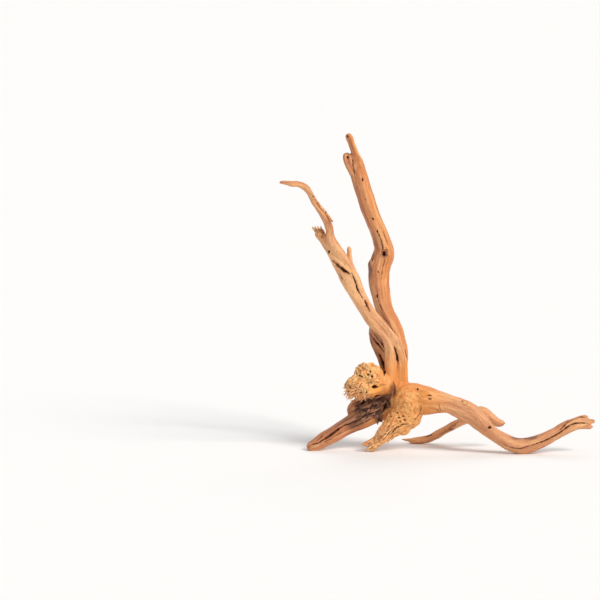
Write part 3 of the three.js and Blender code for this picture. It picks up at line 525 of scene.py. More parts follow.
def normals_of(mesh):
    normals = np.empty(len(mesh.vertices) * 3, np.float32)
    mesh.vertex_normals.foreach_get("vector", normals)
    return normals.reshape(-1, 3).astype(float)


def edges_of(mesh):
    edges = np.empty(len(mesh.edges) * 2, int)
    mesh.edges.foreach_get("vertices", edges)
    return edges.reshape(-1, 2)


def ease(values, edges, share, rounds):
    """Moves each vertex's value towards its neighbours' mean, by its own share, some rounds."""
    a, b = edges.T
    count = np.bincount(edges.ravel(), minlength=len(values))
    count = np.maximum(count, 1)
    flat = values.reshape(len(values), -1).copy()
    weight = np.broadcast_to(share, len(values))
    for _ in range(rounds):
        for column in range(flat.shape[1]):
            v = flat[:, column]
            total = np.bincount(a, v[b], len(v)) + np.bincount(b, v[a], len(v))
            flat[:, column] = v + weight * (total / count - v)
    return flat.reshape(values.shape)


class Lay:
    """How each point lies in the wood: the limb it is on, how far along, where across, and
    how far it is from where that limb meets another, its seam."""

    def __init__(self, points):
        centres = np.vstack([t.centres for t in TRAILS])
        radii = np.concatenate([t.radii for t in TRAILS])
        owner = np.concatenate([np.full(len(t.radii), i) for i, t in enumerate(TRAILS)])
        best = np.empty(len(points), int)
        self.seam = np.empty(len(points))
        for start in range(0, len(points), BLOCK):
            block = points[start:start + BLOCK]
            gap = np.linalg.norm(block[:, None] - centres[None], axis=2) - radii
            near = gap.argmin(axis=1)
            best[start:start + BLOCK] = near
            other = np.where(owner[None] == owner[near][:, None], FAR_OFF, gap).min(axis=1)
            self.seam[start:start + BLOCK] = other - gap.min(axis=1)
        self.limb = owner[best]
        self.radius = radii[best]
        ways = np.vstack([t.ways for t in TRAILS])[best]
        sides = np.vstack([t.sides for t in TRAILS])[best]
        ups = np.vstack([t.ups for t in TRAILS])[best]
        offset = points - centres[best]
        onward = (offset * ways).sum(axis=1)
        self.along = np.concatenate([t.along for t in TRAILS])[best] + onward
        self.across = np.stack([(offset * sides).sum(axis=1), (offset * ups).sum(axis=1)], axis=1)
        self.angle = np.arctan2(self.across[:, 1], self.across[:, 0])


def burl_depth(points, name):
    """0 at a burl's middle, 1 on its surface."""
    centre, half = BURLS[name]
    return np.linalg.norm((points - centre) / half, axis=1)


# Carving the skin

GROUND = 0.7  # mm: the height at which the root is worn flat
VIEW_TILT = math.radians(8)
ONWARD = np.array((0, math.cos(VIEW_TILT), -math.sin(VIEW_TILT)))
RIGHT, UPWARD = np.array((1.0, 0, 0)), np.array((0, math.sin(VIEW_TILT), math.cos(VIEW_TILT)))
RAY_START = 300  # mm from the tables' zero, on the side that a ray comes from
ROUTE_STEP = 1.0  # mm
LINE_REACH = 8  # mm round a line's box, past which it carves nothing
HOLE_REACH = 6  # mm before and behind a hole's place on the skin


def refine(thing, wanted):
    """Splits the faces between wanted vertices in four, for finer carving there."""
    bm = bmesh.new()
    bm.from_mesh(thing.data)
    bm.verts.ensure_lookup_table()
    edges = [e for e in bm.edges if wanted[e.verts[0].index] and wanted[e.verts[1].index]]
    bmesh.ops.subdivide_edges(bm, edges=edges, cuts=1, use_grid_fill=True)
    bm.to_mesh(thing.data)
    bm.free()


def tree_of(thing):
    """The skin as a tree that rays can be cast onto."""
    bm = bmesh.new()
    bm.from_mesh(thing.data)
    tree = BVHTree.FromBMesh(bm)
    bm.free()
    return tree


def cast(tree, right, up, facing=1):
    """Where a ray from the front, or from the back with -1, meets the skin, and its normal."""
    start = RIGHT * right + UPWARD * up - ONWARD * RAY_START * facing
    return tree.ray_cast(Vector(start), Vector(ONWARD * facing))[:2]


def cast_routes(tree, table, facing=1):
    """Each route of a table as points on the skin, about 1 mm apart; what misses is left out."""
    routes = {}
    for name, (_, _, route) in table.items():
        line = follow([(right, 0, up) for right, up in route], ROUTE_STEP)
        found = [cast(tree, right, up, facing)[0] for right, _, up in line]
        spots = [np.array(spot) for spot in found if spot is not None]
        if spots:
            routes[name] = np.array(spots)
    return routes


def cast_holes(tree):
    """The middle of each hole on the skin."""
    found = {name: cast(tree, *where)[0] for name, (where, _, _) in HOLES.items()}
    return {name: np.array(spot) for name, spot in found.items() if spot is not None}


def distance_to_line(points, line):
    """Each point's distance to a line of points, and how far along it the nearest is."""
    away = np.full(len(points), FAR_OFF)
    share = np.zeros(len(points))
    low, high = line.min(axis=0) - LINE_REACH, line.max(axis=0) + LINE_REACH
    near = np.flatnonzero(((points > low) & (points < high)).all(axis=1))
    gap = np.linalg.norm(points[near][:, None] - line[None], axis=2)
    away[near] = gap.min(axis=1)
    share[near] = gap.argmin(axis=1) / max(len(line) - 1, 1)
    return away, share


def inside_hole(points, spot, half):
    """Under 1 within a hole's oval, seen from the front, near its place on the skin."""
    offset = points - spot
    return np.sqrt((offset @ RIGHT / half[0]) ** 2 + (offset @ UPWARD / half[1]) ** 2
                   + (offset @ ONWARD / HOLE_REACH) ** 2)


# Where each region ends. A fade holds the place where its share is 0 and the place where it is 1.
LEFT_BURL = ("upper left burl", "lower left burl", "waist of the left burl")
FRONT_BURL = ("front burl", "lower front burl", "knob", "lump beside the knob")
BURL_EDGE, BURL_SOFT = 1.1, 0.12  # shares of a burl's half-sizes
LEFT_BURL_RIGHT_FADE, LEFT_BURL_FOOT_FADE = (-51, -58), (52, 55)
SPUR_REAR_FADE, FRONT_BURL_RIGHT_FADE, FRONT_BURL_TOP_FADE = (2, -4), (-6, -22), (70, 58)
FRONT_BURL_UNEVEN = 4  # mm
HOLLOW_MIDDLE, HOLLOW_HALF = np.array((-66, -17, 46.5)), np.array((19, 14, 8))
HOLLOW_FRONT = 12  # mm from the hollow's middle to its mouth
HOLLOW_RIGHT, HOLLOW_UP = -68, 40.8  # its middle as seen from the front
LEG_WAY = np.array((-0.84, -0.54))  # right and up, as seen from the front
HOLLOW_ASIDE, HOLLOW_SIDE_FADE, HOLLOW_TOE_FADE = 1, (12.5, 8.5), (34, 6)
HOLLOW_REAR_FADE, HOLLOW_RIGHT_FADE = (0.5, 0.0), (-42, -46)
CEILING, CEILING_SOFT, CEILING_RISE, CEILING_FADE = 50.5, 2, 4.5, (-60, -48)
FLARE_LEFT_FADE, FLARE_FOOT_FADE = (-78, -84), (30, 34)
CROWN_SIDE_TOP_FADE, CROWN_SIDE_FADE = (50, 56), (-62, -52)
ROLL_MIDDLE, ROLL_HALF, ROLL_FADE = (-59, 58), (9.5, 9), (1.15, 0.75)


def share_on(lay, *names):
    """1 on the named limbs, 0 elsewhere."""
    wanted = [i for i, t in enumerate(TRAILS) if t.name in names]
    return np.isin(lay.limb, wanted).astype(float)


def burl_share(points, names):
    """1 inside or on any of the named burls, fading to 0 just outside."""
    return np.max([smooth_step(burl_depth(points, name), BURL_EDGE + BURL_SOFT, BURL_EDGE)
                   for name in names], axis=0)


def left_burl_share(points):
    left = burl_share(points, LEFT_BURL)
    left *= smooth_step(points[:, 0], *LEFT_BURL_RIGHT_FADE) * smooth_step(
        points[:, 2], *LEFT_BURL_FOOT_FADE)
    return left


def front_burl_share(points, lay):
    """The front burl and the spur under it, with an uneven border to the bare wood."""
    front = burl_share(points, FRONT_BURL)
    spur = share_on(lay, "spur") * smooth_step(points[:, 1], *SPUR_REAR_FADE)
    front = np.maximum(front, spur)
    right = points[:, 0] + FRONT_BURL_UNEVEN * soft_noise(points, 6, 2.9)
    up = points[:, 2] + FRONT_BURL_UNEVEN * soft_noise(points, 6, 8.9)
    front *= smooth_step(right, *FRONT_BURL_RIGHT_FADE)
    front *= smooth_step(up, *FRONT_BURL_TOP_FADE)
    return front


def hollow_share(points, normals, left, front):
    """The torn hollow under the left burl, which runs out along the leg."""
    x, seen_up = points[:, 0], points @ UPWARD
    right, up = points @ RIGHT - HOLLOW_RIGHT, seen_up - HOLLOW_UP
    onward = right * LEG_WAY[0] + up * LEG_WAY[1]
    across = right * -LEG_WAY[1] + up * LEG_WAY[0]
    ceiling = CEILING + CEILING_RISE * smooth_step(x, *CEILING_FADE)
    hollow = smooth_step(np.abs(across + HOLLOW_ASIDE), *HOLLOW_SIDE_FADE)
    hollow *= smooth_step(onward, *HOLLOW_TOE_FADE)
    under = smooth_step(seen_up, ceiling + CEILING_SOFT, ceiling)
    hollow *= under * (1 - left) * (1 - front)
    hollow *= smooth_step(normals[:, 1], *HOLLOW_REAR_FADE) * smooth_step(x, *HOLLOW_RIGHT_FADE)
    hollow *= 1 - smooth_step(x, *FLARE_LEFT_FADE) * smooth_step(seen_up, *FLARE_FOOT_FADE)
    hollow *= 1 - 0.5 * smooth_step(seen_up, *CROWN_SIDE_TOP_FADE) * smooth_step(
        x, *CROWN_SIDE_FADE)
    return hollow


def regions(points, normals, lay):
    """How far each point belongs to the left burl, the front burl and the torn hollow."""
    left, front = left_burl_share(points), front_burl_share(points, lay)
    return left, front, hollow_share(points, normals, left, front)


def polish_of(points):
    """1 on the smooth roll round the hole in the left burl, 0 elsewhere."""
    right = (points @ RIGHT - ROLL_MIDDLE[0]) / ROLL_HALF[0]
    up = (points @ UPWARD - ROLL_MIDDLE[1]) / ROLL_HALF[1]
    return smooth_step(np.hypot(right, up) + 0.3 * soft_noise(points, 5, 1.1), *ROLL_FADE)


# How pale each limb's wood is, from 0 to 1, and how much orange is painted on a limb's right side
# as painted light from the right.
PALENESS = {
    "left strand": 0.95, "web between the strands": 0.95, "right strand": 0.85, "twig": 0.9,
    "tall branch": 0.1, "shoulder": 0.0, "broken stub": 0.15, "leg": 0.1, "thin root": 0.7,
    "arm": 0.5, "spur": 0.6,
}
OTHER_PALENESS = 0.4
PALENESS_TOP_FADE = (240, 205)
PAINTED_LIT_SIDE = {"tall branch": 0.55, "shoulder": 0.2}
PAINTED_LIT_FADE = (-0.3, 0.5)
WARM_MIDDLE, WARM_FADE = (-34, -8, 52), (62, 24)  # round the crown, where the wood is orange

# Where the bare wood is weathered, and where the same grey-brown is partly painted shade: the rear
# strands, the leg's upper side under the burl and the hollow.
LEG_TOE_FADE, LEG_SLOPE, LEG_BORDER_RIGHT, LEG_BORDER_FADE = (-121, -108), 0.62, 128, (3, 7)
LEG_FLARE_FADE, LEG_FLARE_TOP_FADE = (-76, -84), (31, 36)
BEND_MIDDLE, BEND_FADE, BEND_FOOT_FADE, BEND_TOP_FADE = 87.5, (15, 9), (9, 12), (17, 15)


def by_limb(lay, table, other):
    """The table's value for the limb that each point is on."""
    return np.array([table.get(t.name, other) for t in TRAILS])[lay.limb]


def weathering_and_shade(points, lay, hollow):
    """How grey-brown the bare wood is: weathering on the arm's bend, and on the rear strands, the
    leg's upper side and the hollow a grey-brown that is partly painted shade.
    """
    right, up = points @ RIGHT, points @ UPWARD
    rear = share_on(lay, "rear strand", "inner rear strand")
    above_border = up - (right + LEG_BORDER_RIGHT) * LEG_SLOPE
    leg = share_on(lay, "leg") * smooth_step(right, *LEG_TOE_FADE)
    leg *= smooth_step(above_border, *LEG_BORDER_FADE)
    leg *= 1 - 0.8 * smooth_step(right, *LEG_FLARE_FADE) * smooth_step(up, *LEG_FLARE_TOP_FADE)
    bend = smooth_step(np.abs(right - BEND_MIDDLE), *BEND_FADE)
    bend *= smooth_step(up, *BEND_FOOT_FADE)
    bend *= smooth_step(up, *BEND_TOP_FADE)
    patches = 0.55 + 0.45 * smooth_step(soft_noise(points * (0.5, 1, 1), 9, 8.8), -0.5, 0.3)
    amount = np.max([0.85 * rear, leg, 1.3 * bend, 0.9 * smooth_step(hollow, 0, 0.3)], axis=0)
    return np.clip(amount * patches, 0, 1)


def stains_and_shadows_of(points, normals):
    """The dark marks of the table, on what faces the front or up: stains, and a painted shadow at
    the foot of the trunk.
    """
    amount = np.zeros(len(points))
    for spot, half in STAINS_AND_SHADOWS.values():
        right, up = (points @ RIGHT - spot[0]) / half[0], (points @ UPWARD - spot[1]) / half[1]
        away = np.hypot(right, up) + 0.35 * soft_noise(points, 4.0, 3.3)
        amount = np.maximum(amount, smooth_step(away, 1.2, 0.6))
    return amount * smooth_step(normals @ ONWARD, 0.3, -0.2)


def painted_lit_side_of(normals, lay, edges):
    """How much orange is painted on the side of a limb that faces right: painted light, as the key
    light shines from the right.
    """
    to_the_right = smooth_step(normals[:, 0] - 0.15 * normals[:, 1], *PAINTED_LIT_FADE)
    return ease(by_limb(lay, PAINTED_LIT_SIDE, 0) * to_the_right, edges, 0.5, 6)


def scoop(points):
    """Presses what lies in the hollow under the left burl back to the hollow's rear wall."""
    offset = (points - HOLLOW_MIDDLE) / HOLLOW_HALF
    flat = offset[:, 0] ** 2 + offset[:, 2] ** 2
    wall = HOLLOW_MIDDLE[1] + HOLLOW_HALF[1] * np.sqrt(np.clip(1 - flat, 0, 1))
    mouth = HOLLOW_MIDDLE[1] - HOLLOW_FRONT
    inside = (flat < 1) & (points[:, 1] < wall) & (points[:, 1] > mouth)
    out = points.copy()
    out[inside, 1] = wall[inside]
    return out


FOLD_TOP = 1.2


def folds(points, size, warp):
    """Rounded folds with creases between them, from 0 in a crease to FOLD_TOP."""
    push = np.stack([soft_noise(points, size * 1.6, s) for s in (11.3, 23.7, 37.1)], axis=1)
    return np.minimum(np.abs(soft_noise(points + push * warp, size)) * 1.7, FOLD_TOP)


def drawn_out(points, way, long, wide):
    """Places squeezed along `way`, so that noise on them is drawn out into strands."""
    way = np.array(way, float) / np.linalg.norm(way)
    onward = points @ way
    return (points - onward[:, None] * way) / wide + onward[:, None] * way / long


def hollows_of(points, normals, edges, share, rounds):
    """How far each point lies below the eased skin, in mm."""
    return ((ease(points, edges, share, rounds) - points) * normals).sum(axis=1)


class Relief:
    """What the carving gathers at each point: height in mm, painted shade for its cracks, creases,
    pits and gaps, and how thready it is.
    """

    def __init__(self, count):
        self.height, self.crease_shade, self.threads = np.zeros((3, count))

    def add(self, height, crease_shade=0.0, threads=0.0):
        """Adds to the height, and keeps the larger painted shade and threadiness."""
        self.height = self.height + height
        self.crease_shade = np.maximum(self.crease_shade, crease_shade)
        self.threads = np.maximum(self.threads, threads)


RIDGE_LENGTH, RIDGE_WIDTH = 26, 2.6  # mm: the ridges left between the fibres


def carve_open_wood(relief, points, normals, lay, open_wood, warmth):
    """Flutes that twist along each limb, soft swellings, and ridges where soft wood has gone, with
    a little painted shade in the grooves between the ridges.
    """
    flutes, rise, twist = (np.array([LIMBS[t.name][i] for t in TRAILS])[lay.limb]
                           for i in range(3))
    turned = lay.angle + twist * 2 * math.pi * lay.along / 100
    relief.add(rise * lay.radius * np.cos(flutes * turned) * open_wood * (1 - 0.6 * warmth))
    relief.add(0.45 * soft_noise(points, 15) * open_wood + 0.25 * soft_noise(points, 7))
    rear = smooth_step(normals[:, 1], 0.0, 0.5)
    relief.add(1.3 * warmth * soft_noise(points, 12, 4.9) * rear)
    reach = np.stack([lay.along / RIDGE_LENGTH, lay.across[:, 0] / RIDGE_WIDTH,
                      lay.across[:, 1] / RIDGE_WIDTH], axis=1)
    ridges = soft_noise(reach, 1.0)
    fine = soft_noise(reach * (1.0, 2.1, 2.1), 1.0, 5.5)
    smooth_wood = open_wood * (1 - 0.8 * warmth)
    relief.add((0.24 * ridges + 0.12 * fine) * smooth_wood,
               smooth_step(ridges, -0.5, -0.95) * 0.35 * smooth_wood)


TORN_SLANT, TORN_FADE, TORN_TOP_FADE = 0.6, (-108, -122), (74, 66)


def carve_left_burl(relief, points, left):
    """Lumps, a crumbly skin with pits, and fibres that part towards its lower left. The creases,
    the pits and the gaps between the fibres get painted shade.
    """
    torn = left * smooth_step(points @ RIGHT - points @ UPWARD * TORN_SLANT, *TORN_FADE)
    torn *= smooth_step(points @ UPWARD, *TORN_TOP_FADE)
    polish = polish_of(points)
    crumbly = (left - torn) * (1 - 0.85 * polish)
    crumbs, fine_crumbs = folds(points, 5.2, 3.4), folds(points, 2.4, 1.2)
    lumps = 1.3 * soft_noise(points, 8.5, 4.4) + 1.1 * soft_noise(points, 4.6)
    relief.add(left * lumps * (1 - 0.5 * polish))
    broken = smooth_step(soft_noise(points, 3.6, 6.6), -0.25, 0.35)
    relief.add(crumbly * (1.5 * (crumbs - 0.5) + 0.3 * (fine_crumbs - 0.5)),
               crumbly * 0.75 * smooth_step(crumbs, 0.28, 0.04) * broken)
    clusters = smooth_step(soft_noise(points, 6.5, 2.2), 0.05, 0.45)
    pits = smooth_step(soft_noise(points, 2.6, 7.7), 0.35, 0.7) * clusters * crumbly
    relief.add(-1.2 * pits, 0.9 * pits)
    strands = soft_noise(drawn_out(points, (-0.8, -0.3, -0.55), 6.5, 1.35), 1.0)
    relief.add(torn * (1.5 * strands - 0.3), torn * smooth_step(strands, -0.15, -0.7),
               torn * smooth_step(strands, -0.4, 0.5))


SPUR_FADE = (-6, -24)  # right and up added, as seen from the front


def carve_front_burl(relief, points, front):
    """A finely mottled skin, drawn down into long fibres on the spur, with painted shade in its
    fine creases and between the fibres.
    """
    spur = front * smooth_step(points @ RIGHT + points @ UPWARD, *SPUR_FADE)
    curls, fine_curls = folds(points, 5.0, 3.4), folds(points, 2.6, 1.6)
    relief.add((front - spur) * (0.8 * (curls - 0.5) + 0.35 * (fine_curls - 0.5)
                                 + 1.0 * soft_noise(points, 6.5, 9.1)),
               (front - spur) * 0.3 * smooth_step(fine_curls, 0.2, 0.02))
    fibres = soft_noise(drawn_out(points, (-0.75, -0.2, -0.75), 9.0, 1.3), 1.0)
    relief.add(spur * 0.9 * fibres, spur * 0.8 * smooth_step(fibres, -0.2, -0.7),
               spur * smooth_step(fibres, -0.4, 0.5))


# Where the painted shade in the hollow is deepest: under the burl and at its right.
DEEP_TOP_FADE, DEEP_RIGHT_FADE, DEEP_RIGHT_TOP_FADE = (44, 50), (-56, -48), (52, 47)


def carve_hollow(relief, points, hollow):
    """Torn fibres that lie along the leg, with painted shade between them, darkest under the burl
    and at the hollow's right, where shade falls.
    """
    strands = soft_noise(drawn_out(points, (-0.8, -0.15, -0.5), 8.0, 1.2), 1.0)
    up = points @ UPWARD
    at_right = smooth_step(points[:, 0], *DEEP_RIGHT_FADE) * smooth_step(up, *DEEP_RIGHT_TOP_FADE)
    deep = np.maximum(smooth_step(up, *DEEP_TOP_FADE), at_right)
    dark = np.maximum(hollow * 0.7 * smooth_step(strands, 0.0, -0.7), 0.5 * hollow * deep)
    relief.add(hollow * (1.1 * strands + 0.8 * soft_noise(points, 3.2, 6.1)), dark,
               hollow * smooth_step(strands, -0.4, 0.6))


def carve_lips(relief, points, lips):
    """Raised lips and ridges, and soft valleys, which get a little painted shade."""
    for name, line in lips.items():
        half_width, rise, _ = LIPS[name]
        away, share = distance_to_line(points, line)
        slope = smooth_step(away, half_width * 1.5, 0)
        relief.add(rise * slope * np.sin(math.pi * share) ** 0.5,
                   0.2 * smooth_step(away, half_width, 0) * (rise < 0))


WALL, RIM_REACH, RIM_HEIGHT = 0.6, 1.8, 0.25  # mm: a crack's wall, and the rim beside it
BLACK_DEPTH = 1.6  # mm: the painted shade in a crack is darkest from here down


def carve_cracks(relief, points, cracks):
    """Drying cracks with uneven sides and a slight rim, which narrow at both ends, with painted
    shade inside them that is darkest in the deep ones.
    """
    for name, line in cracks.items():
        half_width, depth, _ = (CRACKS | REAR_CRACKS)[name]
        away, share = distance_to_line(points, line)
        away = away + (0.3 + 0.2 * half_width) * soft_noise(points, 3.4)
        away = away + 0.2 * soft_noise(points, 1.5)
        uneven = 0.75 + 0.35 * soft_noise(points, 6.0, 1.7)
        width = half_width * uneven * (0.2 + 0.8 * np.sin(math.pi * share) ** 0.8)
        cut = smooth_step(away, width + WALL, width * 0.2)
        rim = RIM_HEIGHT * smooth_step(away, width + RIM_REACH, width + WALL) * (1 - cut)
        dark = smooth_step(away, width + WALL, width * 0.3) * min(depth / BLACK_DEPTH, 1)
        relief.add(rim - depth * cut, dark)


def carve_holes(relief, points, holes):
    """Holes and pits with an uneven edge and a slight rim, with painted shade inside; the deeper
    for its size, the darker.
    """
    for name, spot in holes.items():
        _, half, depth = HOLES[name]
        inside = inside_hole(points, spot, half) + 0.5 * soft_noise(points, 1.8)
        cut = smooth_step(inside, 1.25, 0.45)
        rim = 0.2 * smooth_step(inside, 2.0, 1.4) * (1 - cut)
        dark = smooth_step(inside, 1.2, 0.85) * smooth_step(depth / min(half), 0.3, 1.1)
        relief.add(rim - depth * cut, dark)


SEAM_EASE, EXTRA_SEAM_EASE, SEAM_FADE, SEAM_ROUNDS = 0.1, 0.35, (4, 0.3), 6
CROWN_MIDDLE, CROWN_EASE, CROWN_FADE, CROWN_ROUNDS = np.array((-38, 4, 54)), 0.6, (26, 16), 10
LINE_MARGIN, HOLE_MARGIN = 2.0, 1.8  # mm round a line or a hole that are refined
LEAST_SHARE = 0.02  # of a region, from which the skin is refined
LIMB_SHIFT = (31.0, 0, 0)  # mm from one limb's grain to the next one's


def ease_seams(points, edges, seam):
    """Softens where limbs meet, most of all round the crown, and opens the hollow."""
    share = SEAM_EASE + EXTRA_SEAM_EASE * smooth_step(seam, *SEAM_FADE)
    points = ease(points, edges, share, SEAM_ROUNDS)
    from_crown = np.linalg.norm(points - CROWN_MIDDLE, axis=1)
    share = CROWN_EASE * smooth_step(from_crown, *CROWN_FADE)
    return scoop(ease(points, edges, share, CROWN_ROUNDS))


def near_carving(points, lines, holes, shares):
    """Whether each point is near a line or a hole, or in one of the regions."""
    near = np.zeros(len(points), bool)
    for name, line in lines.items():
        half_width = (CRACKS | REAR_CRACKS | LIPS)[name][0]
        near |= distance_to_line(points, line)[0] < half_width + LINE_MARGIN
    for name, spot in holes.items():
        near |= inside_hole(points, spot, np.array(HOLES[name][1]) + HOLE_MARGIN) < 1
    for share in shares:
        near |= share > LEAST_SHARE
    return near


def cavity_shade_of(narrow, wide):
    """How deep a point lies among its neighbours, from 0 to 1: how much painted shade it gets."""
    share = smooth_step(narrow, 0.05, 0.5) * 0.5 + smooth_step(wide, 0.3, 2.2) * 0.8
    return np.clip(share, 0, 1)


def carve(thing):
    """Gives the fused wood its relief and returns what the finish needs at each point."""
    mesh = thing.data
    points, edges = points_of(mesh), edges_of(mesh)
    lay = Lay(points)
    points = ease_seams(points, edges, lay.seam)
    set_points(mesh, points)
    tree = tree_of(thing)
    cracks = cast_routes(tree, CRACKS) | cast_routes(tree, REAR_CRACKS, -1)
    lips, holes = cast_routes(tree, LIPS), cast_holes(tree)
    shares = regions(points, normals_of(mesh), lay)
    refine(thing, near_carving(points, cracks | lips, holes, shares))

    points, edges = points_of(mesh), edges_of(mesh)
    points = ease(points, edges, 0.5, 2)
    set_points(mesh, points)
    normals, lay = normals_of(mesh), Lay(points)
    left, front, hollow = regions(points, normals, lay)
    burl = np.clip(left + front, 0, 1)
    open_wood = smooth_step(lay.seam, 0.5, 4) * (1 - np.clip(left + front + hollow, 0, 1))
    warmth = smooth_step(np.linalg.norm(points - WARM_MIDDLE, axis=1), *WARM_FADE)

    relief = Relief(len(points))
    carve_open_wood(relief, points, normals, lay, open_wood, warmth)
    carve_left_burl(relief, points, left)
    carve_front_burl(relief, points, front)
    carve_hollow(relief, points, hollow)
    carve_lips(relief, points, lips)
    carve_cracks(relief, points, cracks)
    carve_holes(relief, points, holes)
    points = points + normals * relief.height[:, None]
    points[:, 2] = np.maximum(points[:, 2], GROUND)
    set_points(mesh, points)

    normals = normals_of(mesh)
    narrow = hollows_of(points, normals, edges, 0.7, 6)
    wide = hollows_of(points, normals, edges, 0.9, 40)
    pale = by_limb(lay, PALENESS, OTHER_PALENESS)
    return {
        # Painted shade in cracks, holes, creases and the gaps between fibres.
        "crease_shade": relief.crease_shade,
        # Painted shade for what lies deep among its neighbours.
        "cavity_shade": cavity_shade_of(narrow, wide),
        "burl": burl,
        "polish": polish_of(points) * left,
        "hollow": hollow,
        "left_burl": left,
        # Grey-brown weathering, which on the rear strands, the leg and the hollow is partly painted
        # shade.
        "weathered_and_shaded": weathering_and_shade(points, lay, hollow),
        # Orange round the crown, which is the wood's own, and painted light on the right side of
        # some limbs.
        "warmth": np.maximum(warmth, painted_lit_side_of(normals, lay, edges)),
        "threads": relief.threads,
        # Painted highlight on the crests of the burls.
        "crest_highlight": smooth_step(narrow, -0.05, -0.35) * burl,
        # Stains, and a painted shadow at the foot of the trunk.
        "stain_and_shadow": stains_and_shadows_of(points, normals),
        "paleness": pale * smooth_step(points[:, 2], *PALENESS_TOP_FADE),
        "lay": np.column_stack([lay.along, lay.across]) + lay.limb[:, None] * LIMB_SHIFT,
    }


def keep_attributes(mesh, values):
    """Leaves each value at the mesh's points, where the finish reads it."""
    for name, value in values.items():
        if value.ndim == 1:
            layer = mesh.attributes.new(name, "FLOAT", "POINT")
            layer.data.foreach_set("value", value.astype(np.float32))
        else:
            layer = mesh.attributes.new(name, "FLOAT_VECTOR", "POINT")
            layer.data.foreach_set("vector", value.astype(np.float32).ravel())


def settle(thing, slot_material):
    """Brings a piece from the tables' millimetres to its place in metres and finishes it."""
    place = Matrix.Scale(MM, 4) @ Matrix.Translation(LAYOUT_SHIFT)
    thing.data.transform(place)
    thing.data.polygons.foreach_set("use_smooth", [True] * len(thing.data.polygons))
    thing.data.materials.clear()
    thing.data.materials.append(slot_material)
    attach(thing, "root")
    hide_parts("root")


def thin_out(thing, most):
    """Leaves at most this many triangles, taking them from the plainest stretches first."""
    triangles = sum(len(face.vertices) - 2 for face in thing.data.polygons)
    thinner = thing.modifiers.new("thin out", "DECIMATE")
    thinner.ratio = min(most / triangles, 1)
    keep_result(thing)


def grow_wood():
    """All limbs and burls as one carved skin."""
    bm = bmesh.new()
    for trail in TRAILS:
        grow_and_add(bm, trail)
    for centre, half in BURLS.values():
        grow_burl(bm, centre, half)
    wood = to_object(bm, "wood")
    fuse(wood, WOOD_VOXEL)
    keep_attributes(wood.data, carve(wood))
    thin_out(wood, MOST_TRIANGLES)
    return wood


# Torn fibres

FIBRE_SIDES = 5
FIBRE_SHARES = np.linspace(-0.35, 1, 6)  # of its length, from under the skin to its tip
FIBRE_CURL, FIBRE_TIP = 0.16, 0.18  # shares of its length and of its thickness
STRAND_STEP = 1.4  # mm
START_LIFT, STRAND_LIFT = 0.1, 0.5  # of its thickness, off the skin
LIFT_RANGE, LENGTH_RANGE, THICKNESS_RANGE = (0.3, 1.6), (0.6, 1.4), (0.7, 1.25)
_draws = np.random.default_rng(SEED + 1)


def grow_fibre(bm, root, way, length, thick):
    """A tapering, slightly curled fibre from `root` along `way`."""
    curl = _draws.normal(0, FIBRE_CURL * length, 3)
    middle = [root + way * length * s + curl * max(s, 0) ** 2 for s in FIBRE_SHARES]
    radii = [thick * max(1 - s, FIBRE_TIP) ** 0.7 for s in np.maximum(FIBRE_SHARES, 0)]
    rows = [(*p, r) for p, r in zip(middle, radii)]
    grow_and_add(bm, Trail("fibre", rows, step=length / 4), FIBRE_SIDES)


def lay_strand(bm, tree, thick, route):
    """A strand that follows the skin as seen from the front, and runs on where the skin ends."""
    line = follow([(right, 0, up) for right, up in route], STRAND_STEP)[:, [0, 2]]
    rows, depth = [], None
    for i, (right, up) in enumerate(line):
        spot, normal = cast(tree, right, up)
        if spot is not None:
            depth = ONWARD.dot(spot)
            lift = START_LIFT if i == 0 else STRAND_LIFT
            spot = np.array(spot) + np.array(normal) * thick * lift
        elif depth is not None:
            spot = RIGHT * right + UPWARD * up + ONWARD * depth
        if spot is not None:
            turn = math.pi * (0.15 + 0.75 * (i / (len(line) - 1)))
            rows.append((*spot, thick * (0.35 + 0.65 * math.sin(turn))))
    if len(rows) > 2:
        grow_and_add(bm, Trail("strand", rows, step=STRAND_STEP), FIBRE_SIDES)


def fibres_over(bm, skin, middle, half, way, count, length, thick, stray, lift):
    """Fibres that grow from the skin inside a box-like region and lie along it."""
    points, normals = skin
    near = np.flatnonzero((np.abs(points - middle) < half).all(axis=1))
    if len(near) == 0:
        return
    for pick in _draws.choice(near, count):
        out = normals[pick]
        toward = np.array(way, float) / np.linalg.norm(way) + _draws.normal(0, stray, 3)
        toward -= out * toward.dot(out) * 0.85
        toward = toward / np.linalg.norm(toward) + out * lift * _draws.uniform(*LIFT_RANGE)
        toward /= np.linalg.norm(toward)
        long = length * _draws.uniform(*LENGTH_RANGE)
        grow_fibre(bm, points[pick] - out * thick * 0.3, toward, long,
                   thick * _draws.uniform(*THICKNESS_RANGE))


# where: middle, half-size of the region, direction, count, length, thickness, stray, lift
PALE_FIBRES = [
    ((-88, -12, 60), (8, 13, 9), (-1, -0.3, -0.5), 44, 5.5, 0.85, 0.3, 0.16),
    ((-78, -22, 57), (12, 8, 6), (-0.7, -0.2, -0.8), 26, 5, 0.7, 0.3, 0.12),
    ((-68, -22, 54.5), (9, 8, 3), (-0.2, -0.2, -1), 26, 3.5, 0.8, 0.4, 0.1),
    ((-66, -21, 9), (8, 8, 6), (-1, -0.1, -0.6), 26, 5, 0.9, 0.2, 0.12),
    ((-50, -24, 22), (12, 8, 9), (-0.8, -0.1, -0.8), 46, 7, 0.6, 0.2, 0.06),
    ((151, -26, 32), (5, 9, 8), (1, 0, 0.05), 14, 2.4, 0.7, 0.12, 0.04),
]
# Fibres in the torn hollow, whose dark colour is partly their own and partly painted shade of the
# hollow.
DARK_FIBRES = [
    ((-66, -12, 43), (15, 9, 8), (-0.85, -0.1, -0.5), 44, 8, 0.6, 0.2, 0.05),
    ((-59, -7, 34), (3.5, 8, 4), (0.1, 0, -1), 14, 6, 1.6, 0.1, 0.15),
]


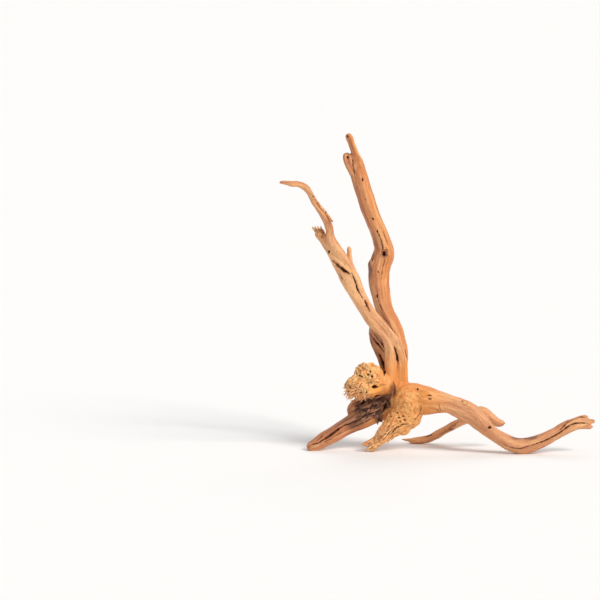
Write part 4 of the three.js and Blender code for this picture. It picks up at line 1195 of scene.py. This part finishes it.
def grow_fibres(name, places, skin, strands=(), tree=None):
    """The fibres of a table and the single strands, as one piece that stays above the floor."""
    bm = bmesh.new()
    for place in places:
        fibres_over(bm, skin, *place)
    for thick, route in strands:
        lay_strand(bm, tree, thick, route)
    for vert in bm.verts:
        vert.co.z = max(vert.co.z, GROUND)
    bmesh.ops.recalc_face_normals(bm, faces=bm.faces[:])
    return to_object(bm, name)


# Finishes

# Red, green and blue from 0 to 255. Some are painted light: painted shade for cracks, deep spots,
# burl grooves and the torn hollow, a painted highlight for the crests of the burls, and grey-brown
# and stain colours that also serve as painted shade and shadow.
COLOURS = {
    "brown wood": (198, 128, 90), "pale wood": (248, 190, 138), "reddish patch": (204, 132, 92),
    "orange wood": (226, 142, 66), "pale streak": (246, 192, 132), "dark streak": (158, 92, 58),
    "dark hair": (146, 82, 52), "weathered and shaded dark": (128, 78, 56),
    "weathered and shaded light": (196, 138, 104), "golden shade": (232, 144, 80),
    "golden light": (255, 202, 130), "burl's groove shade": (196, 108, 62),
    "burl's painted highlight": (255, 210, 146), "burl's roll": (250, 172, 84), "warm burl": (232, 146, 66),
    "hollow's shaded ground": (64, 38, 30), "hollow's thread": (182, 130, 98), "stain_and_shadow": (118, 74, 62),
    "cavity_shade": (120, 54, 30), "crack shade": (62, 26, 16), "pale fibre's shade": (214, 142, 90),
    "pale fibre's light": (250, 198, 140), "dark fibre's shade": (52, 32, 26),
    "dark fibre's light": (150, 106, 80),
}


def colour(name):
    """A colour of the table as the linear colour that shaders use."""
    parts = [c / 255 for c in COLOURS[name]]
    return (*(c / 12.92 if c <= 0.04045 else ((c + 0.055) / 1.055) ** 2.4 for c in parts), 1.0)


def add(tree, kind, settings=None, **inputs):
    """Adds a node. An input is named with _ for a space, or i0, i1... by its place."""
    made = tree.nodes.new(kind)
    for key, value in (settings or {}).items():
        setattr(made, key, value)
    for key, value in inputs.items():
        by_place = key[0] == "i" and key[1:].isdigit()
        socket = made.inputs[int(key[1:]) if by_place else key.replace("_", " ")]
        if isinstance(value, bpy.types.NodeSocket):
            tree.links.new(value, socket)
        else:
            socket.default_value = value
    return made


def math_node(tree, operation, first, second=0.0, clamp=False):
    """The result of a sum or other operation on one or two values."""
    settings = {"operation": operation, "use_clamp": clamp}
    return add(tree, "ShaderNodeMath", settings, i0=first, i1=second).outputs[0]


def times(tree, first, second):
    return math_node(tree, "MULTIPLY", first, second)


def between(tree, value, low, high, to_low=0.0, to_high=1.0):
    """Maps a value smoothly from one range to another."""
    settings = {"interpolation_type": "SMOOTHSTEP"}
    made = add(tree, "ShaderNodeMapRange", settings, Value=value, From_Min=low, From_Max=high,
               To_Min=to_low, To_Max=to_high)
    return made.outputs[0]


def mix_colour(tree, share, first, second):
    """The first colour at a share of 0, the second at 1."""
    made = add(tree, "ShaderNodeMix", {"data_type": "RGBA"}, i0=share, i6=first, i7=second)
    return made.outputs[2]


def coat(tree, under, share, name):
    """Lays a colour of the table over what is there, by the share."""
    return mix_colour(tree, share, under, colour(name))


def new_group(name, inputs, outputs):
    """An empty node group, with what it is given and what it returns."""
    tree = bpy.data.node_groups.new(name, "ShaderNodeTree")
    for label, kind, value in inputs:
        socket = tree.interface.new_socket(label, in_out="INPUT", socket_type=kind)
        if value is not None:
            socket.default_value = value
    for label, kind in outputs:
        tree.interface.new_socket(label, in_out="OUTPUT", socket_type=kind)
    return tree, tree.nodes.new("NodeGroupInput").outputs, tree.nodes.new("NodeGroupOutput").inputs


def make_long_grain():
    """Streaks that run along the wood: broad ones for colour, fine ones for colour and relief."""
    tree, given, result = new_group(
        "long grain",
        [("Lay", "NodeSocketVector", None), ("Pitch", "NodeSocketFloat", 3.0),
         ("Stretch", "NodeSocketFloat", 14.0)],
        [("Broad", "NodeSocketFloat"), ("Fine", "NodeSocketFloat")])
    parts = add(tree, "ShaderNodeSeparateXYZ", Vector=given["Lay"]).outputs
    slow = math_node(tree, "DIVIDE", parts[0], given["Stretch"])
    drawn = add(tree, "ShaderNodeCombineXYZ", X=slow, Y=parts[1], Z=parts[2]).outputs[0]
    sized = add(tree, "ShaderNodeVectorMath", {"operation": "SCALE"}, i0=drawn).outputs[0]
    scale = sized.node.inputs["Scale"]
    tree.links.new(math_node(tree, "DIVIDE", 1.0, given["Pitch"]), scale)
    broad = add(tree, "ShaderNodeTexNoise", Vector=sized, Scale=1.0, Detail=3.0, Roughness=0.55,
                Distortion=0.4)
    fine = add(tree, "ShaderNodeTexNoise", Vector=sized, Scale=4.3, Detail=4.0, Roughness=0.6,
               Distortion=0.2)
    tree.links.new(broad.outputs[0], result["Broad"])
    tree.links.new(fine.outputs[0], result["Fine"])
    return tree


def make_spongy():
    """The pitted, wormy grain of a burl."""
    tree, given, result = new_group(
        "spongy",
        [("Place", "NodeSocketVector", None), ("Pitch", "NodeSocketFloat", 0.0022)],
        [("Height", "NodeSocketFloat"), ("Pits", "NodeSocketFloat")])
    per_metre = math_node(tree, "DIVIDE", 1.0, given["Pitch"])
    worm = add(tree, "ShaderNodeTexNoise", Vector=given["Place"], Scale=per_metre, Detail=3.0,
               Roughness=0.6, Distortion=1.2).outputs[0]
    away = math_node(tree, "ABSOLUTE", math_node(tree, "SUBTRACT", worm, 0.5))
    height = between(tree, away, 0.0, 0.14)
    holes = add(tree, "ShaderNodeTexVoronoi", Vector=given["Place"], Scale=per_metre,
                Randomness=1.0).outputs["Distance"]
    pits = between(tree, holes, 0.34, 0.14)
    tree.links.new(height, result["Height"])
    tree.links.new(pits, result["Pits"])
    return tree


LONG_GRAIN = make_long_grain()
SPONGY = make_spongy()


def use_group(tree, group, **inputs):
    """What the group returns for these inputs."""
    return add(tree, "ShaderNodeGroup", {"node_tree": group}, **inputs).outputs


def attribute(tree, name, output="Fac"):
    """A value that the carving left at each point."""
    return add(tree, "ShaderNodeAttribute", {"attribute_name": name}).outputs[output]


def new_material(name):
    """A material with its node tree and its shader."""
    material = bpy.data.materials.new(name)
    material.use_nodes = True
    tree = material.node_tree
    return material, tree, tree.nodes["Principled BSDF"]


def bare_wood_colour(tree, place, grain, hair):
    """Pale or brown by limb, orange round the crown and, as painted light, on the right side of
    some limbs, streaked along the grain, or grey-brown where weathered and where grey-brown is
    painted shade.
    """
    warmth, broad = attribute(tree, "warmth"), grain["Broad"]
    patches = add(tree, "ShaderNodeTexNoise", Vector=place, Scale=26.0, Detail=2.0).outputs[0]
    tone = mix_colour(tree, attribute(tree, "paleness"), colour("brown wood"), colour("pale wood"))
    tone = coat(tree, tone, between(tree, patches, 0.4, 0.6, to_high=0.45), "reddish patch")
    # The orange here also carries painted light on the right side of some limbs.
    tone = coat(tree, tone, times(tree, warmth, 0.9), "orange wood")
    tone = coat(tree, tone, between(tree, broad, 0.46, 0.68, to_high=0.6), "pale streak")
    streaky = between(tree, warmth, 0.2, 1.0, to_low=1.0, to_high=0.4)
    streaks = between(tree, broad, 0.48, 0.3, to_high=0.6)
    hairs = between(tree, hair["Fine"], 0.52, 0.34, to_high=0.65)
    tone = coat(tree, tone, times(tree, streaky, streaks), "dark streak")
    tone = coat(tree, tone, times(tree, streaky, hairs), "dark hair")
    # Grey-brown for weathering, and partly painted shade on the rear strands, the leg and the
    # hollow.
    grey_brown = mix_colour(tree, between(tree, broad, 0.35, 0.65), colour("weathered and shaded dark"),
                            colour("weathered and shaded light"))
    return mix_colour(tree, attribute(tree, "weathered_and_shaded"), tone, grey_brown)


def burl_colour(tree, place, spongy, polish):
    """Golden and mottled, with painted shade in its grooves, painted highlights on its crests, and
    orange on its roll.
    """
    mottle = add(tree, "ShaderNodeTexNoise", Vector=place, Scale=190.0, Detail=3.0,
                 Roughness=0.6, Distortion=0.8).outputs[0]
    tone = mix_colour(tree, between(tree, mottle, 0.34, 0.58), colour("golden shade"),
                      colour("golden light"))
    # Painted shade in the low parts of the spongy grain.
    groove_shade = between(tree, spongy["Height"], 0.45, 0.0, to_high=0.3)
    tone = coat(tree, tone, groove_shade, "burl's groove shade")
    tone = coat(tree, tone, times(tree, attribute(tree, "crest_highlight"), 0.8), "burl's painted highlight")
    tone = coat(tree, tone, times(tree, polish, 0.85), "burl's roll")
    return coat(tree, tone, times(tree, attribute(tree, "warmth"), 0.25), "warm burl")


def darkened(tree, tone, hollow, burl):
    """The colour with its stains and a painted shadow, with painted shade in what lies deep, and
    with painted shade in cracks, creases and pits.
    """
    tone = coat(tree, tone, times(tree, attribute(tree, "stain_and_shadow"), 0.7), "stain_and_shadow")
    rough = math_node(tree, "MAXIMUM", hollow, burl)
    depth = between(tree, rough, 0.0, 1.0, to_low=0.8, to_high=0.45)
    tone = coat(tree, tone, times(tree, attribute(tree, "cavity_shade"), depth), "cavity_shade")
    return coat(tree, tone, times(tree, attribute(tree, "crease_shade"), 0.9), "crack shade")


def wood_height(tree, grain, hair, spongy, bare_burl):
    """Fine fibres everywhere, and the spongy grain on the burls outside their smooth roll."""
    fibres = math_node(tree, "ADD", times(tree, hair["Fine"], 0.5), times(tree, grain["Fine"], 0.6))
    knotty = math_node(tree, "SUBTRACT", spongy["Height"], spongy["Pits"])
    return math_node(tree, "ADD", fibres, times(tree, times(tree, knotty, 0.55), bare_burl))


def join(tree, shader, tone, roughness, height, strength, distance):
    """Gives the shader its colour, its roughness and its fine relief."""
    bump = add(tree, "ShaderNodeBump", Height=height, Strength=strength, Distance=distance)
    tree.links.new(tone, shader.inputs["Base Color"])
    tree.links.new(roughness, shader.inputs["Roughness"])
    tree.links.new(bump.outputs[0], shader.inputs["Normal"])


def make_bare_wood():
    material, tree, shader = new_material("bare_wood")
    place = add(tree, "ShaderNodeTexCoord").outputs["Object"]
    lay = attribute(tree, "lay", "Vector")
    grain = use_group(tree, LONG_GRAIN, Lay=lay, Pitch=3.4, Stretch=16.0)
    hair = use_group(tree, LONG_GRAIN, Lay=lay, Pitch=1.1, Stretch=22.0)
    spongy = use_group(tree, SPONGY, Place=place, Pitch=0.0026)
    burl, left_burl = attribute(tree, "burl"), attribute(tree, "left_burl")
    hollow, polish = attribute(tree, "hollow"), attribute(tree, "polish")

    golden_share = times(tree, burl, between(tree, left_burl, 0.0, 1.0, to_low=0.8, to_high=0.95))
    tone = mix_colour(tree, golden_share, bare_wood_colour(tree, place, grain, hair),
                      burl_colour(tree, place, spongy, polish))
    # The torn hollow is dark brown, partly its own colour and partly painted shade, with paler
    # threads.
    shaded_hollow = mix_colour(tree, attribute(tree, "threads"), colour("hollow's shaded ground"),
                        colour("hollow's thread"))
    tone = darkened(tree, mix_colour(tree, hollow, tone, shaded_hollow), hollow, burl)
    bare_burl = math_node(tree, "SUBTRACT", burl, polish, clamp=True)
    height = wood_height(tree, grain, hair, spongy, bare_burl)
    roughness = between(tree, hair["Fine"], 0.3, 0.7, to_low=0.62, to_high=0.46)
    join(tree, shader, tone, roughness, height, strength=0.55, distance=0.0009)
    shader.inputs["Specular IOR Level"].default_value = 0.28
    return material


def make_fibre(name, shade, light):
    """A mottled, finely threaded finish between two colours of the table."""
    material, tree, shader = new_material(name)
    place = add(tree, "ShaderNodeTexCoord").outputs["Object"]
    tint = add(tree, "ShaderNodeTexNoise", Vector=place, Scale=260.0, Detail=2.0).outputs[0]
    tone = mix_colour(tree, between(tree, tint, 0.35, 0.65), colour(shade), colour(light))
    thread = add(tree, "ShaderNodeTexNoise", Vector=place, Scale=1400.0, Detail=2.0).outputs[0]
    roughness = between(tree, thread, 0.3, 0.7, to_low=0.7, to_high=0.55)
    join(tree, shader, tone, roughness, thread, strength=0.3, distance=0.0004)
    return material


# The studio

FLOOR_REACH, FLOOR_COLOUR, FLOOR_ROUGHNESS = 6.0, (0.9, 0.9, 0.9, 1), 0.8
CAMERA_AIM, CAMERA_AWAY = (-137, 0, 151.3), 6.0  # the aim in the tables' mm, the distance in m
SENSOR, LENS, CAMERA_REACH = 36, 360, 50
ROOM_LIGHT = 0.48
# The way each light shines, its power, its spread in degrees, and its colour.
LIGHTS = {
    "key": ((-0.65, 0.55, -0.75), 2.5, 24, (1, 0.97, 0.93)),
    "back": ((-0.1, -0.7, -0.7), 0.5, 40, (1, 1, 1)),
}


def make_floor():
    bm = bmesh.new()
    bmesh.ops.create_grid(bm, x_segments=1, y_segments=1, size=FLOOR_REACH)
    floor = to_object(bm, "floor")
    material, _, shader = new_material("pale_floor")
    shader.inputs["Base Color"].default_value = FLOOR_COLOUR
    shader.inputs["Roughness"].default_value = FLOOR_ROUGHNESS
    floor.data.materials.append(material)


def add_soft_light(name, way, power, spread, tint):
    """A broad light that shines along `way`, evenly over the whole floor."""
    light = bpy.data.lights.new(name, "SUN")
    light.angle, light.energy, light.color = math.radians(spread), power, tint
    thing = bpy.data.objects.new(name, light)
    thing.rotation_euler = Vector(way).to_track_quat("-Z", "Y").to_euler()
    thing.location = -Vector(way) * 2
    bpy.context.scene.collection.objects.link(thing)


def add_camera():
    """Looks along +Y from 8 degrees above, far off; 600 mm fill the frame at the root."""
    aim = Vector(CAMERA_AIM) * MM + LAYOUT_SHIFT * MM
    toward = Vector(ONWARD)
    camera = bpy.data.cameras.new("camera")
    camera.sensor_width, camera.lens = SENSOR, LENS
    camera.clip_end = CAMERA_REACH
    thing = bpy.data.objects.new("camera", camera)
    thing.location = aim - toward * CAMERA_AWAY
    thing.rotation_euler = toward.to_track_quat("-Z", "Y").to_euler()
    bpy.context.scene.collection.objects.link(thing)
    bpy.context.scene.camera = thing


def add_lights():
    """Even light from all round, and the two lights of the table."""
    world = bpy.data.worlds.new("studio")
    world.use_nodes = True
    background = world.node_tree.nodes["Background"]
    background.inputs[0].default_value = (1, 1, 1, 1)
    background.inputs[1].default_value = ROOM_LIGHT
    bpy.context.scene.world = world
    bpy.context.scene.view_settings.view_transform = "Standard"
    for name, light in LIGHTS.items():
        add_soft_light(name, *light)


# Putting it together

add_camera()
add_lights()
make_floor()

BARE_WOOD = make_bare_wood()
PALE = make_fibre("pale_fibre", "pale fibre's shade", "pale fibre's light")
DARK = make_fibre("dark_fibre", "dark fibre's shade", "dark fibre's light")

wood = grow_wood()
skin = points_of(wood.data), normals_of(wood.data)
pale_fibres = grow_fibres("pale_fibres", PALE_FIBRES, skin, STRANDS, tree_of(wood))
dark_fibres = grow_fibres("dark_fibres", DARK_FIBRES, skin)
settle(wood, BARE_WOOD)
settle(pale_fibres, PALE)
settle(dark_fibres, DARK)
